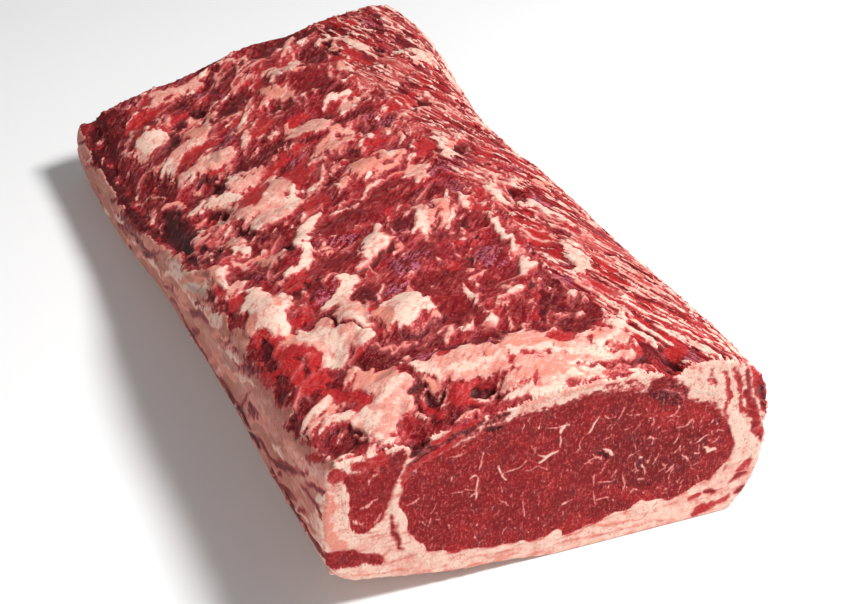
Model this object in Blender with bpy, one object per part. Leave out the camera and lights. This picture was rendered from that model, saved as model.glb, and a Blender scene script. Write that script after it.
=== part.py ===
"""A raw beef striploin: a whole boneless loin lying on its fat cap, with the rib side up.

X runs across, from the flank edge (-X) to the chine edge (+X). Y runs from the near cut end to the far
one. Z is up and the table is Z = 0. Shapes are worked out in millimetres, with x = 0 on a line along the
loin and y = 0 at the near cut, then moved over the origin and made metres.
"""
import math

import bmesh
import bpy
import numpy as np

MM = 0.001
LENGTH = 440.0        # near cut end to far cut end
GAP = 0.3             # clearance between neighbouring muscles and fat

# Stations along the loin, and at each: the plan's two edges and the height of the rib side, read at
# four places across (flank edge, quarter, middle, chine edge).
STATIONS = (0, 60, 130, 200, 250, 300, 350, 400, 440)
FLANK_EDGE = (-104, -105, -104.5, -104, -104, -105.5, -106, -105.5, -104)
CHINE_EDGE = (101.5, 102.5, 100, 99, 96, 96, 102, 107.5, 109)
ACROSS = (0.04, 0.25, 0.55, 0.88, 1.0)
TOP_FLANK = (77, 70, 69, 61, 51, 41, 37, 36, 38)
TOP_QUARTER = (80, 82, 78, 70, 62, 56, 52, 50, 50)
TOP_MIDDLE = (87, 87, 82, 77, 74, 72, 70, 68.5, 68)
TOP_CHINE = (84, 82, 80, 79, 77, 76, 77, 79, 79)
ROUNDED = 0.5         # between two of those places: 0 is a straight slope, 1 a full S

# The fat cap underneath: nearly flat on the table, curling up towards the flank edge.
BELLY_X = (-110, -97, -85, -70, -45, -20, 0, 20, 85, 95, 104, 115)
BELLY_Z = (15, 14, 12, 9, 5, 3, 0, -1, -1, 2, 8, 14)
CURL = (1.0, 1.0, 1.15, 1.0, 0.9, 0.6, 0.3, 0.2, 0.4)

# Radii of the long edges and of the far corners in plan.
TOP_FLANK_RADIUS = 9.0
TOP_CHINE_RADIUS = 26.0
LOW_FLANK_RADIUS = 12.0
LOW_CHINE_RADIUS = 20.0
FAR_FLANK_RADIUS = 12.0
FAR_CHINE_RADIUS = 10.0
SIDE_BULGE = 3.0
FAR_WAVE = 1.2        # the far cut isn't quite flat
FAR_WAVE_RUN = 27.0
FAR_WAVE_START = 0.5
FAR_STRETCH = 4       # the far corners are rounded within the last quarter of the length

# Rib beds: shallow channels left where the ribs were lifted out, slanting across the rib side.
RIB_PITCH = 35.0
FIRST_BED = 70.0
BED_COUNT = 11
BED_DEPTH = 2.6
BED_WIDTH = 9.0
BED_SLANT_NEAR = 0.85
BED_SLANT_FAR = 0.30
BED_SLANT_RUN = 300.0
BED_MIDDLE_X = -30.0
BED_FLANK_MARGIN = 8.0
BED_FLANK_FADE = 14.0
BED_CHINE_END = 48.0
BED_NEAR_END = 45.0
BED_FADE = 20.0

# Lumps (+) and hollows (-) of the rib side: (x, y, half length, half width, turn in degrees, height).
LUMPS = {
    "fat slab behind the near cut": (0, 26, 60, 26, 0, 2.2),
    "fat lump": (-33, 94, 17, 16, 25, 5.0),
    "second lobe": (-59, 88, 20, 9, 75, 3.2),
    "red chunk at the flank": (-90, 76, 28, 11, 80, 4.0),
    "flank ridge": (-87, 132, 28, 8, 80, 4.0),
    "ridge behind it": (-92, 190, 26, 6, 82, 2.5),
    "step to the lean": (-25, 62, 40, 8, -8, -3.0),
    "oval hollow": (-93, 17, 11, 8, 0, -3.0),
    "round cavity": (-51, 23, 12, 9, 0, -6.0),
    "lobe cavity": (-27, 16, 8, 8, 0, -4.5),
    "corner notch": (-65, 3, 5, 9, 0, -5.0),
    "slit beside the chine": (57, 6, 6, 12, -20, -5.0),
    "cream patch": (-24, 158, 22, 8, 50, 3.0),
    "white sinew ridge": (-56, 180, 26, 6, 62, 2.6),
    "pink pad": (-52, 240, 26, 15, 75, 3.0),
    "pink pad at the middle": (8, 248, 22, 12, 20, 2.6),
    "flank hollow": (-72, 257, 10, 6, 90, -5.5),
    "dark hollow": (-68, 300, 12, 10, 0, -5.0),
    "dark hollow behind": (-62, 196, 12, 8, 0, -3.5),
    "dark bed": (-45, 390, 22, 8, 60, -4.0),
    "pink pad at the far flank": (-56, 345, 30, 20, 0, 3.5),
    "cream lump at the far flank": (-77, 382, 18, 10, 75, 4.0),
    "oval lean pad": (17, 368, 27, 17, 115, 4.0),
    "cream band": (84, 362, 17, 9, 0, 3.0),
    "chine slit": (60, 306, 6, 4, 0, -4.0),
    "second chine slit": (61, 182, 5, 8, -20, -4.5),
    "third chine slit": (59, 244, 5, 5, 0, -3.5),
    "chine fat": (61, 112, 8, 20, 0, 3.0),
}
# The groove between the flank lip of the fat cap and the lean behind it.
LIP_X = 8.0
LIP_START = 205.0
LIP_DEPTH = 6.0
LIP_WIDTH = 4.5
LIP_FADE = 40.0

# Sections of the muscles on the near cut face: closed curves through these (x, z) points.
EYE = ((-73, 56), (-64, 67), (-42, 74), (-26, 79), (-4, 80), (18, 82.5), (48, 77), (62, 68), (77, 61),
       (88, 43), (86, 28), (64, 16), (34, 17), (8, 10), (-35, 14.5), (-61, 21), (-71, 40))
SIDE = ((-99, 58), (-97, 72), (-84, 71), (-72, 70), (-77, 60), (-81, 46), (-90, 38.5), (-97, 43))
CHINE = ((86, 66), (84, 94), (103, 96), (122, 88), (122, 63), (103, 55), (104.5, 36), (102, 28),
         (96, 32), (91, 48))
STRIP = ((-124, 30), (-103, 32), (-91, 28.5), (-82, 22), (-81, 19), (-90, 20.5), (-103, 23), (-124, 25))
EYE_COVER = 3.6       # least thickness of what lies over the eye muscle
SUNK = 7.5            # behind the near cut both muscles lie deeper, clear of the hollows
SUNK_RUN = 24.0
STRIP_HIDDEN_FROM = 215.0     # past here the strip runs inside the fat
STRIP_FAR_SHARE = 0.4
STRIP_DRAW_IN = 40.0
SEAM = 0.72           # height, as a share of the loin's, where the rib cover meets the fat cap
SEAM_COVER = 13.5     # and at least this far under the rib side

# Mesh sizes, and how far the cutters stand past the loin.
BODY_CUTS = (96, 176, 22)
BODY_FACES = 4900
SEAM_CUTS = (36, 30, 1)
PAST_THE_END = 12.0
CLEAR = 200.0
SEAM_CLEAR = 130.0
LEAST_SLOPE = 0.01    # keeps a flat spot of a muscle's section from dividing by nothing

COLOURS = {
    "eye_muscle": ((0.25, 0.022, 0.020), 0.38),
    "side_muscle": ((0.22, 0.018, 0.018), 0.38),
    "chine_strap": ((0.30, 0.030, 0.030), 0.36),
    "lean_strip": ((0.14, 0.012, 0.012), 0.42),
    "rib_cover": ((0.42, 0.085, 0.072), 0.36),
    "fat_cap": ((0.72, 0.40, 0.29), 0.46),
}


def through(keys, values, at):
    """The smooth curve through (key, value) pairs, read at each number of an array."""
    keys = np.asarray(keys, float)
    values = np.asarray(values, float)
    at = np.clip(at, keys[0], keys[-1])
    slopes = np.gradient(values, keys)
    slopes[1:-1] = (values[2:] - values[:-2]) / (keys[2:] - keys[:-2])
    left = np.clip(np.searchsorted(keys, at, side="right") - 1, 0, len(keys) - 2)
    step = keys[left + 1] - keys[left]
    t = (at - keys[left]) / step
    start = (1 + 2 * t) * (1 - t) ** 2 * values[left] + t * (1 - t) ** 2 * step * slopes[left]
    end = t * t * (3 - 2 * t) * values[left + 1] + t * t * (t - 1) * step * slopes[left + 1]
    return start + end


def edges(y):
    """The plan's flank edge and chine edge at y."""
    return through(STATIONS, FLANK_EDGE, y), through(STATIONS, CHINE_EDGE, y)


def share_across(x, y):
    flank, chine = edges(y)
    return np.clip((x - flank) / (chine - flank), 0, 1)


def rib_side(x, y):
    """Height of the rib side before its relief: a smooth blend across of the curves along the loin."""
    u = share_across(x, y)
    curves = [through(STATIONS, z, y) for z in (TOP_FLANK, TOP_QUARTER, TOP_MIDDLE, TOP_CHINE, TOP_CHINE)]
    height = np.where(u < ACROSS[0], curves[0], curves[-1])
    for i in range(len(ACROSS) - 1):
        t = np.clip((u - ACROSS[i]) / (ACROSS[i + 1] - ACROSS[i]), 0, 1)
        inside = (u >= ACROSS[i]) & (u <= ACROSS[i + 1])
        easing = t * t * (3 - 2 * t) * ROUNDED + t * (1 - ROUNDED)
        height = np.where(inside, curves[i] + (curves[i + 1] - curves[i]) * easing, height)
    return height


def belly(x, y):
    """Height of the underside."""
    curl = np.where(x < 0, through(STATIONS, CURL, y), 1.0)
    return through(BELLY_X, BELLY_Z, x) * curl


def relief(x, y):
    """Rib beds, lumps, hollows and the groove along the flank lip."""
    height = np.zeros_like(x)
    flank = edges(y)[0]
    inside = np.clip((x - flank - BED_FLANK_MARGIN) / BED_FLANK_FADE, 0, 1)
    inside *= np.clip((BED_CHINE_END - x) / BED_FADE, 0, 1)
    inside *= np.clip((y - BED_NEAR_END) / BED_FADE, 0, 1)
    for bed in range(BED_COUNT):
        middle = FIRST_BED + RIB_PITCH * bed
        slant = BED_SLANT_NEAR + (BED_SLANT_FAR - BED_SLANT_NEAR) * min(middle / BED_SLANT_RUN, 1)
        away = (y - middle - slant * (x - BED_MIDDLE_X)) / BED_WIDTH
        height -= BED_DEPTH * np.exp(-away ** 2) * inside
    for x0, y0, long, wide, turn, rise in LUMPS.values():
        c, s = math.cos(math.radians(turn)), math.sin(math.radians(turn))
        along = ((x - x0) * c + (y - y0) * s) / long
        aside = ((y - y0) * c - (x - x0) * s) / wide
        height += rise * np.exp(-(along ** 2 + aside ** 2) ** 1.5)
    lip = (x - flank - LIP_X) / LIP_WIDTH
    height -= LIP_DEPTH * np.exp(-lip ** 2) * np.clip((y - LIP_START) / LIP_FADE, 0, 1)
    return height


def surface(x, y):
    return rib_side(x, y) + relief(x, y)


def inset(depth, radius):
    """How far a rounded edge draws in at this depth from its top."""
    short = np.clip(radius - depth, 0, radius)
    return radius - np.sqrt(radius ** 2 - short ** 2)


def coordinates(bm):
    return np.array([v.co[:] for v in bm.verts])


def place(bm, points):
    for vertex, point in zip(bm.verts, points):
        vertex.co = point


def edges_along(bm, axis):
    """The edges of a shape one unit long that run along this axis."""
    return [e for e in bm.edges if abs(e.verts[0].co[axis] - e.verts[1].co[axis]) > 0.5]


def grid_box(cuts):
    """A unit box, x, y and z from 0 to 1, cut into this many cells along each axis."""
    bm = bmesh.new()
    bmesh.ops.create_cube(bm, size=1.0)
    bmesh.ops.translate(bm, verts=bm.verts, vec=(0.5, 0.5, 0.5))
    for axis, cells in enumerate(cuts):
        bmesh.ops.subdivide_edges(bm, edges=edges_along(bm, axis), cuts=cells - 1, use_grid_fill=True)
    return bm


def finish(name, bm, collection):
    bmesh.ops.recalc_face_normals(bm, faces=bm.faces)
    mesh = bpy.data.meshes.new(name)
    bm.to_mesh(mesh)
    bm.free()
    obj = bpy.data.objects.new(name, mesh)
    collection.objects.link(obj)
    return obj


def helper(obj):
    obj.hide_render = True
    obj.display_type = "WIRE"
    return obj


def baked(obj, name):
    """The object's evaluated mesh, as a mesh of its own."""
    graph = bpy.context.evaluated_depsgraph_get()
    mesh = bpy.data.meshes.new_from_object(obj.evaluated_get(graph))
    mesh.name = name
    return mesh


def boolean(obj, operation, other):
    modifier = obj.modifiers.new(f"{operation.lower()} {other.name}", "BOOLEAN")
    modifier.operation = operation
    modifier.object = other
    modifier.solver = "EXACT"


def whole_loin(collection):
    """The loin's outer form: a box bent to the plan, the heights, the round edges and the relief."""
    bm = grid_box(BODY_CUTS)
    u, v, w = coordinates(bm).T
    w = (1 - np.cos(math.pi * w)) / 2
    y = v * LENGTH
    flank, chine = edges(y)
    thick_flank = rib_side(flank, y) - belly(flank, y)
    thick_chine = rib_side(chine, y) - belly(chine, y)
    bulge = SIDE_BULGE * np.sin(math.pi * w)
    left = flank - bulge + inset((1 - w) * thick_flank, TOP_FLANK_RADIUS)
    left += inset(w * thick_flank, LOW_FLANK_RADIUS)
    right = chine + bulge - inset((1 - w) * thick_chine, TOP_CHINE_RADIUS)
    right -= inset(w * thick_chine, LOW_CHINE_RADIUS)
    x = left + (right - left) * u
    low = belly(x, y)
    z = low + (surface(x, y) - low) * w
    far = FAR_WAVE * np.sin(x / FAR_WAVE_RUN + FAR_WAVE_START)
    far -= inset(x - flank + SIDE_BULGE, FAR_FLANK_RADIUS)
    far -= inset(chine - x + SIDE_BULGE, FAR_CHINE_RADIUS)
    far *= np.clip(v * FAR_STRETCH - (FAR_STRETCH - 1), 0, 1)
    place(bm, np.stack([x, y + far, z], 1))
    loin = finish("loin_form", bm, collection)
    fewer = loin.modifiers.new("fewer faces", "DECIMATE")
    fewer.ratio = BODY_FACES / (2 * len(loin.data.polygons))
    table_and_cut = grid_box((1, 1, 1))
    corner = np.array((-CLEAR, 0.0, 0.0))
    room = np.array((2 * CLEAR, LENGTH + CLEAR, CLEAR))
    place(table_and_cut, corner + coordinates(table_and_cut) * room)
    boolean(loin, "INTERSECT", helper(finish("table_and_cut", table_and_cut, collection)))
    loin.data = baked(loin, "loin_form")
    loin.modifiers.clear()
    return helper(loin)


def section(outline, count):
    """Points round a closed smooth curve through the outline's points."""
    outline = np.array(outline, float)
    t = np.arange(count) / count * len(outline)
    i = t.astype(int)
    f = (t - i)[:, None]
    a, b, c, d = (outline[(i + k) % len(outline)] for k in (-1, 0, 1, 2))
    return b + 0.5 * f * (c - a + f * (2 * a - 5 * b + 4 * c - d + f * (3 * (b - c) + d - a)))


def muscle(name, outline, sides, spans, collection, cover=None, sunk=0.0, grow=0.0, reach=None):
    """A muscle's form: its section on the near face, carried along the loin and squeezed as the loin is."""
    bm = bmesh.new()
    bmesh.ops.create_cone(bm, cap_ends=True, segments=sides, radius1=1, radius2=1, depth=1)
    bmesh.ops.subdivide_edges(bm, edges=edges_along(bm, 2), cuts=spans - 1, use_grid_fill=True)
    bmesh.ops.triangulate(bm, faces=bm.faces, quad_method="FIXED")
    here = coordinates(bm)
    spoke = np.round(np.arctan2(here[:, 1], here[:, 0]) / (2 * math.pi) * sides).astype(int) % sides
    y = -PAST_THE_END + (here[:, 2] + 0.5) * (LENGTH + 2 * PAST_THE_END)
    ring = section(outline, sides)
    zero = np.zeros(sides)
    flank, chine = edges(zero)
    u = (ring[:, 0] - flank) / (chine - flank)
    low = belly(ring[:, 0], zero)
    w = (ring[:, 1] - low) / (rib_side(ring[:, 0], zero) - low)

    def carried(index):
        flank_here, chine_here = edges(y)
        x = flank_here + u[index] * (chine_here - flank_here)
        if reach is not None:
            inner = flank_here + u.max() * (chine_here - flank_here)
            x = inner + (x - inner) * reach(y)
        lowered = sunk * np.clip(y / SUNK_RUN, 0, 1)
        z = belly(x, y) + w[index] * (rib_side(x, y) - lowered - belly(x, y))
        if cover is not None:
            z = np.minimum(z, surface(x, y) - cover)
        return x, z

    x, z = carried(spoke)
    x_next, z_next = carried((spoke + 1) % sides)
    x_last, z_last = carried((spoke - 1) % sides)
    out = np.stack([z_next - z_last, x_last - x_next], 1)
    area = np.sum(ring[:, 0] * np.roll(ring[:, 1], -1) - np.roll(ring[:, 0], -1) * ring[:, 1])
    out *= math.copysign(grow, area) / np.maximum(np.linalg.norm(out, axis=1), LEAST_SLOPE)[:, None]
    place(bm, np.stack([x + out[:, 0], y, z + out[:, 1]], 1))
    return helper(finish(name, bm, collection))


def above_the_seam(name, lift, collection):
    """Everything over the seam between the fat cap and the rib cover."""
    bm = grid_box(SEAM_CUTS)
    u, v, w = coordinates(bm).T
    y = -PAST_THE_END + v * (LENGTH + 2 * PAST_THE_END)
    x = (2 * u - 1) * SEAM_CLEAR
    seam = belly(x, y) + SEAM * (rib_side(x, y) - belly(x, y))
    seam = np.minimum(seam, rib_side(x, y) - SEAM_COVER) + lift
    place(bm, np.stack([x, y, np.where(w > 0.5, SEAM_CLEAR, seam)], 1))
    bmesh.ops.triangulate(bm, faces=bm.faces, quad_method="FIXED")
    return helper(finish(name, bm, collection))


def finish_colour(name):
    colour, roughness = COLOURS[name]
    material = bpy.data.materials.new(name)
    material.use_nodes = True
    shader = material.node_tree.nodes["Principled BSDF"]
    shader.inputs["Base Color"].default_value = (*colour, 1)
    shader.inputs["Roughness"].default_value = roughness
    shader.inputs["Metallic"].default_value = 0.0
    return material


def piece(name, loin, collection, keep=(), remove=()):
    """One node: the loin's form, cut to what it keeps and less what its neighbours fill."""
    obj = bpy.data.objects.new(name, loin.data.copy())
    collection.objects.link(obj)
    obj.data.materials.clear()
    obj.data.materials.append(finish_colour(name))
    for other in keep:
        boolean(obj, "INTERSECT", other)
    for other in remove:
        boolean(obj, "DIFFERENCE", other)
    return obj


def strip_reach(y):
    """The share of its width that the lean strip keeps: it draws in from the flank side under the fat."""
    t = np.clip((y - STRIP_HIDDEN_FROM) / STRIP_DRAW_IN, 0, 1)
    return 1 + (STRIP_FAR_SHARE - 1) * t * t * (3 - 2 * t)


for old in list(bpy.data.objects):
    bpy.data.objects.remove(old, do_unlink=True)
striploin = bpy.data.collections.new("raw_beef_striploin")
cutters = bpy.data.collections.new("cutters")
bpy.context.scene.collection.children.link(striploin)
bpy.context.scene.collection.children.link(cutters)
cutters.hide_render = True

loin_form = whole_loin(cutters)
muscles = {
    "eye_muscle": (EYE, 34, 18, {"cover": EYE_COVER, "sunk": SUNK}),
    "side_muscle": (SIDE, 24, 14, {"sunk": SUNK}),
    "chine_strap": (CHINE, 22, 12, {}),
    "lean_strip": (STRIP, 16, 14, {"reach": strip_reach}),
}
hollows = {}
for title, (points, sides, spans, settings) in muscles.items():
    form = muscle(title + "_form", points, sides, spans, cutters, **settings)
    hollows[title] = muscle(title + "_hollow", points, sides, spans, cutters, grow=GAP, **settings)
    piece(title, loin_form, striploin, keep=[form])
over = above_the_seam("over_the_seam", GAP / 2, cutters)
over_and_gap = above_the_seam("over_the_seam_and_gap", -GAP / 2, cutters)
piece("rib_cover", loin_form, striploin, keep=[over],
      remove=[hollows[m] for m in ("eye_muscle", "side_muscle", "chine_strap")])
piece("fat_cap", loin_form, striploin, remove=[over_and_gap, *hollows.values()])

# Over the origin, and from millimetres to metres.
corners = np.array([v.co[:] for v in loin_form.data.vertices])
middle_x, middle_y = (corners.min(0) + corners.max(0))[:2] / 2
for obj in bpy.data.objects:
    points = np.empty(len(obj.data.vertices) * 3, np.float32)
    obj.data.vertices.foreach_get("co", points)
    points = (points.reshape(-1, 3) - (middle_x, middle_y, 0)) * MM
    obj.data.vertices.foreach_set("co", points.ravel().astype(np.float32))
    obj.data.update()
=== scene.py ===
"""A raw beef striploin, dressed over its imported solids.

Places on the loin are in millimetres: x across from the flank side (-) to the chine side (+), y along
from the near cut, z up from the table. The scraps and streaks of fat and lean are laid on as strokes,
each by its half width and the places it runs through: x, y on the top, x, z on the cuts and y, z on the
walls.
"""
import itertools
import math

import bmesh
import bpy
import numpy as np
from mathutils import Matrix, Vector
from mathutils.bvhtree import BVHTree


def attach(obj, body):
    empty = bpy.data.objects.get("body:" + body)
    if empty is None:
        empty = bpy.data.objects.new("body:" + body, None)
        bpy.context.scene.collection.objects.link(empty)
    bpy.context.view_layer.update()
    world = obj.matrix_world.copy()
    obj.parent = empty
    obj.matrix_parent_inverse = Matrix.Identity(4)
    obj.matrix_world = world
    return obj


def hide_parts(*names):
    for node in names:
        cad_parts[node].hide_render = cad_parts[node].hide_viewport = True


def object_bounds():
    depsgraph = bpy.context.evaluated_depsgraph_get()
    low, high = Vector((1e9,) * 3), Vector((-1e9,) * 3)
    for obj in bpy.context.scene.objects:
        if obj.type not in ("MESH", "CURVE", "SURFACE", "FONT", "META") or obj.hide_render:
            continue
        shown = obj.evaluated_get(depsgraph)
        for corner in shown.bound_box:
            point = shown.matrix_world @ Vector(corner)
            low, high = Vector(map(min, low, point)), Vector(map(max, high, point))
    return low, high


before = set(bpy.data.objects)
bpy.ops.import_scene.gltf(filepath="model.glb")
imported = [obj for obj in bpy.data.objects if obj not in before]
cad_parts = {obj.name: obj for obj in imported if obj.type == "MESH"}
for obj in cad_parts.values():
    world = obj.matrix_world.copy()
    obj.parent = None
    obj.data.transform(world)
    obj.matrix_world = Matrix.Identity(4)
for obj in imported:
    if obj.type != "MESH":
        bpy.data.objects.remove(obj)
cad_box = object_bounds()

# ---------------------------------------------------------------------------------------------------
# The trimmed loin. One long boneless strip of beef, cut off the back and trimmed square, from which
# the pieces below are parted. It is soft wet meat, so its skin is smooth and uneven, and only the two
# knife cuts across it have sharp rims.
# ---------------------------------------------------------------------------------------------------
MM = 0.001
MIDLINE = -1.3 * MM            # x = 0 of the marks
NEAR_CUT = cad_box[0].y        # y = 0 of the marks
LENGTH = (cad_box[1].y - cad_box[0].y) / MM
VOXEL = 1.15
GAP_FILL = 0.25                # closes the clearance between neighbouring solids
SHARP_END = 1.5                # the skin keeps its rim this near to a cut
SOFT_END = 4.0                 # and is fully smoothed from here on
SMOOTHING = 26                 # passes that an even 1 mm mesh needs to lose the solids' facets
SQUARE_ON = 0.8                # a face that looks this much one way counts as looking that way
UNDERSIDE_TOP = 16             # the underside's faces lie below this height
UNDERSIDE_SHARE = 0.12         # the table hides them, so only this share is kept


def in_mm(points):
    return (points - (MIDLINE, NEAR_CUT, 0)) / MM


def read_points(mesh):
    points = np.empty(len(mesh.vertices) * 3)
    mesh.vertices.foreach_get("co", points)
    return points.reshape(-1, 3)


def read_normals(mesh):
    normals = np.empty(len(mesh.vertices) * 3, np.float32)
    mesh.vertices.foreach_get("normal", normals)
    return normals.reshape(-1, 3).astype(float)


def new_object(name, mesh):
    obj = bpy.data.objects.new(name, mesh)
    bpy.context.scene.collection.objects.link(obj)
    return obj


def apply_modifiers(obj):
    """Swap an object's mesh for what its modifiers make of it."""
    graph = bpy.context.evaluated_depsgraph_get()
    mesh = bpy.data.meshes.new_from_object(obj.evaluated_get(graph))
    old = obj.data
    obj.modifiers.clear()
    obj.data = mesh
    bpy.data.meshes.remove(old)


def ramp(values, low, high):
    """0 below low, 1 above high and smooth between; high may be the smaller."""
    t = np.clip((values - low) / (high - low), 0, 1)
    return t * t * (3 - 2 * t)


def solid_copy(node):
    """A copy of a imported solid's mesh with its split corners joined again."""
    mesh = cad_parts[node].data.copy()
    bm = bmesh.new()
    bm.from_mesh(mesh)
    bmesh.ops.remove_doubles(bm, verts=bm.verts, dist=1e-6)
    bm.to_mesh(mesh)
    bm.free()
    return mesh


def whole_loin():
    """The skin of the whole loin: the solids closed up, evenly meshed, their facets smoothed."""
    points, faces, count = [], [], 0
    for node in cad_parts:
        mesh = solid_copy(node)
        points.append(read_points(mesh) + read_normals(mesh) * GAP_FILL * MM)
        faces += [tuple(v + count for v in face.vertices) for face in mesh.polygons]
        count += len(mesh.vertices)
    mesh = bpy.data.meshes.new("loin_skin")
    mesh.from_pydata(np.concatenate(points), [], faces)
    skin = new_object("loin_skin", mesh)
    remesh = skin.modifiers.new("even mesh", "REMESH")
    remesh.mode = "VOXEL"
    remesh.voxel_size = VOXEL * MM
    apply_modifiers(skin)
    mesh = skin.data
    place = in_mm(read_points(mesh))
    to_a_cut = np.minimum(place[:, 1], LENGTH - place[:, 1])
    tenths = np.round(ramp(to_a_cut, SHARP_END, SOFT_END) * 10)
    group = skin.vertex_groups.new(name="away from the cuts")
    for level in range(1, 11):
        group.add(np.nonzero(tenths == level)[0].tolist(), level / 10, "REPLACE")
    smooth = skin.modifiers.new("no facets", "SMOOTH")
    smooth.factor = 0.5
    smooth.iterations = int(SMOOTHING / VOXEL ** 2)
    smooth.vertex_group = group.name
    under = skin.vertex_groups.new(name="underside")
    looks_down = read_normals(mesh)[:, 2] < -SQUARE_ON
    below = np.nonzero(looks_down & (place[:, 2] < UNDERSIDE_TOP))[0]
    under.add(below.tolist(), 1.0, "REPLACE")
    fewer = skin.modifiers.new("fewer faces below", "DECIMATE")
    fewer.vertex_group = under.name
    fewer.vertex_group_factor = 1000       # takes the faces from that group alone
    share = len(below) / len(mesh.vertices)
    fewer.ratio = 1 - share * (1 - UNDERSIDE_SHARE)
    apply_modifiers(skin)
    skin.vertex_groups.clear()
    return skin


skin = whole_loin()
skin_tree = BVHTree.FromObject(skin, bpy.context.evaluated_depsgraph_get())

# ---------------------------------------------------------------------------------------------------
# The fat cap. The thick back fat that the loin lies on, curling up both sides of it. It is firm and
# dry, trimmed flat underneath, pulled smooth at the flank, and cut through in level layers in front.
# ---------------------------------------------------------------------------------------------------
KNIFE_REACH = 7.0      # how far the knife that cuts a piece out stands outside the skin
KNIFE_NEAR = 0.8       # a face this near to a neighbour is a seam, where the knife doesn't reach out
KNIFE_FILL = 0.2       # and where it closes the clearance instead
CUT_BAND = 3           # the near cut's faces lie within this of the loin's end
RIM_ANGLE = 62         # rims sharper than this stay crisp, in degrees


def write_points(mesh, points):
    mesh.vertices.foreach_set("co", points.astype(np.float32).ravel())
    mesh.update()


def joined(names):
    """The corners and faces of several solids, in one list of each."""
    points, faces = [], []
    for name in names:
        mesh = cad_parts[name].data
        start = len(points)
        points += [v.co for v in mesh.vertices]
        faces += [[v + start for v in face.vertices] for face in mesh.polygons]
    return points, faces


def knife_for(node):
    """A copy of a solid whose outer faces stand well outside the skin, for cutting its piece out."""
    mesh = solid_copy(node)
    others = BVHTree.FromPolygons(*joined([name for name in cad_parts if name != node]))
    points = read_points(mesh)
    push = np.zeros_like(points)
    for face in mesh.polygons:
        hit = others.find_nearest(face.center, KNIFE_NEAR * MM)
        if hit[0] is None or hit[1].dot(face.normal) > -0.3:
            for v in face.vertices:
                push[v] += np.array(face.normal) * face.area
    size = np.linalg.norm(push, axis=1)[:, None]
    outward = np.where(size > 0, push / np.maximum(size, 1e-12), 0)
    points = points + read_normals(mesh) * KNIFE_FILL * MM + outward * KNIFE_REACH * MM
    write_points(mesh, points)
    return mesh


def halve_cut_face(mesh):
    """Twice as fine a mesh on the near cut, where the marbling is thin."""
    bm = bmesh.new()
    bm.from_mesh(mesh)
    end = NEAR_CUT + CUT_BAND * MM
    cut = [f for f in bm.faces if f.normal.y < -SQUARE_ON and f.calc_center_median().y < end]
    edges = list({edge for face in cut for edge in face.edges})
    bmesh.ops.subdivide_edges(bm, edges=edges, cuts=1, use_grid_fill=True)
    bmesh.ops.triangulate(bm, faces=[f for f in bm.faces if len(f.verts) > 4])
    bm.to_mesh(mesh)
    bm.free()


def carve(node, name):
    """The node's own piece of the skin, closed by the node's own inner faces."""
    piece = new_object(name, skin.data.copy())
    knife = new_object("knife", knife_for(node))
    cut = piece.modifiers.new("cut", "BOOLEAN")
    cut.operation = "INTERSECT"
    cut.object = knife
    cut.solver = "MANIFOLD"
    apply_modifiers(piece)
    bpy.data.objects.remove(knife)
    halve_cut_face(piece.data)
    piece.data.name = name
    piece.data.materials.clear()
    piece.data.shade_smooth()
    piece.data.set_sharp_from_angle(angle=math.radians(RIM_ANGLE))
    return piece


def slanted(seed, count, low, high, turn, spread, kinds, longest, widest):
    """Short strokes strewn at random over a rectangle of one side, all lying about one way."""
    random = np.random.default_rng(seed)
    strewn = []
    for _ in range(count):
        x, y = random.uniform(low, high)
        angle = math.radians(turn + random.normal(0, spread))
        reach = random.uniform(0.25, 1) * longest / 2
        bend = random.normal(0, 0.2) * reach
        dx, dy = reach * math.cos(angle), reach * math.sin(angle)
        kind = kinds[random.integers(len(kinds))]
        path = (x - dx, y - dy), (x - dy * bend / reach, y + dx * bend / reach), (x + dx, y + dy)
        strewn.append((kind, random.uniform(0.35, 1) * widest, *path))
    return strewn


def node_in(tree, kind, inputs=None, **settings):
    """A shader node, with its settings, and its inputs as values or as sockets to link from."""
    made = tree.nodes.new("ShaderNode" + kind)
    for key, value in settings.items():
        setattr(made, key, value)
    for key, value in (inputs or {}).items():
        if isinstance(value, bpy.types.NodeSocket):
            tree.links.new(value, made.inputs[key])
        else:
            made.inputs[key].default_value = value
    return made


def maths(tree, operation, a, b=0.0, c=0.0):
    return node_in(tree, "Math", {0: a, 1: b, 2: c}, operation=operation).outputs[0]


def scaled(tree, value, low, high, out_low=0.0, out_high=1.0):
    inputs = {"Value": value, "From Min": low, "From Max": high, "To Min": out_low, "To Max": out_high}
    return node_in(tree, "MapRange", inputs, interpolation_type="SMOOTHSTEP").outputs["Result"]


def mixed(tree, share, a, b):
    made = node_in(tree, "Mix", data_type="RGBA")
    for key, value in zip((0, 6, 7), (share, a, b)):
        if isinstance(value, bpy.types.NodeSocket):
            tree.links.new(value, made.inputs[key])
        else:
            made.inputs[key].default_value = value if key == 0 else (*value, 1)
    return made.outputs[2]


def grain(tree, scale, detail=2.0, stretch=(1, 1, 1), turn=0.0, rough=0.55):
    """Noise of one texture through the meat, per millimetre, drawn out along a direction in plan."""
    place = node_in(tree, "TexCoord").outputs["Object"]
    turned = node_in(tree, "Mapping", {"Vector": place, "Rotation": (0, 0, math.radians(turn))},
                     vector_type="TEXTURE").outputs[0]
    per_mm = tuple(share / MM for share in stretch)
    drawn = node_in(tree, "Mapping", {"Vector": turned, "Scale": per_mm}).outputs[0]
    inputs = {"Vector": drawn, "Scale": scale, "Detail": detail, "Roughness": rough}
    return node_in(tree, "TexNoise", inputs).outputs["Fac"]


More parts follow.
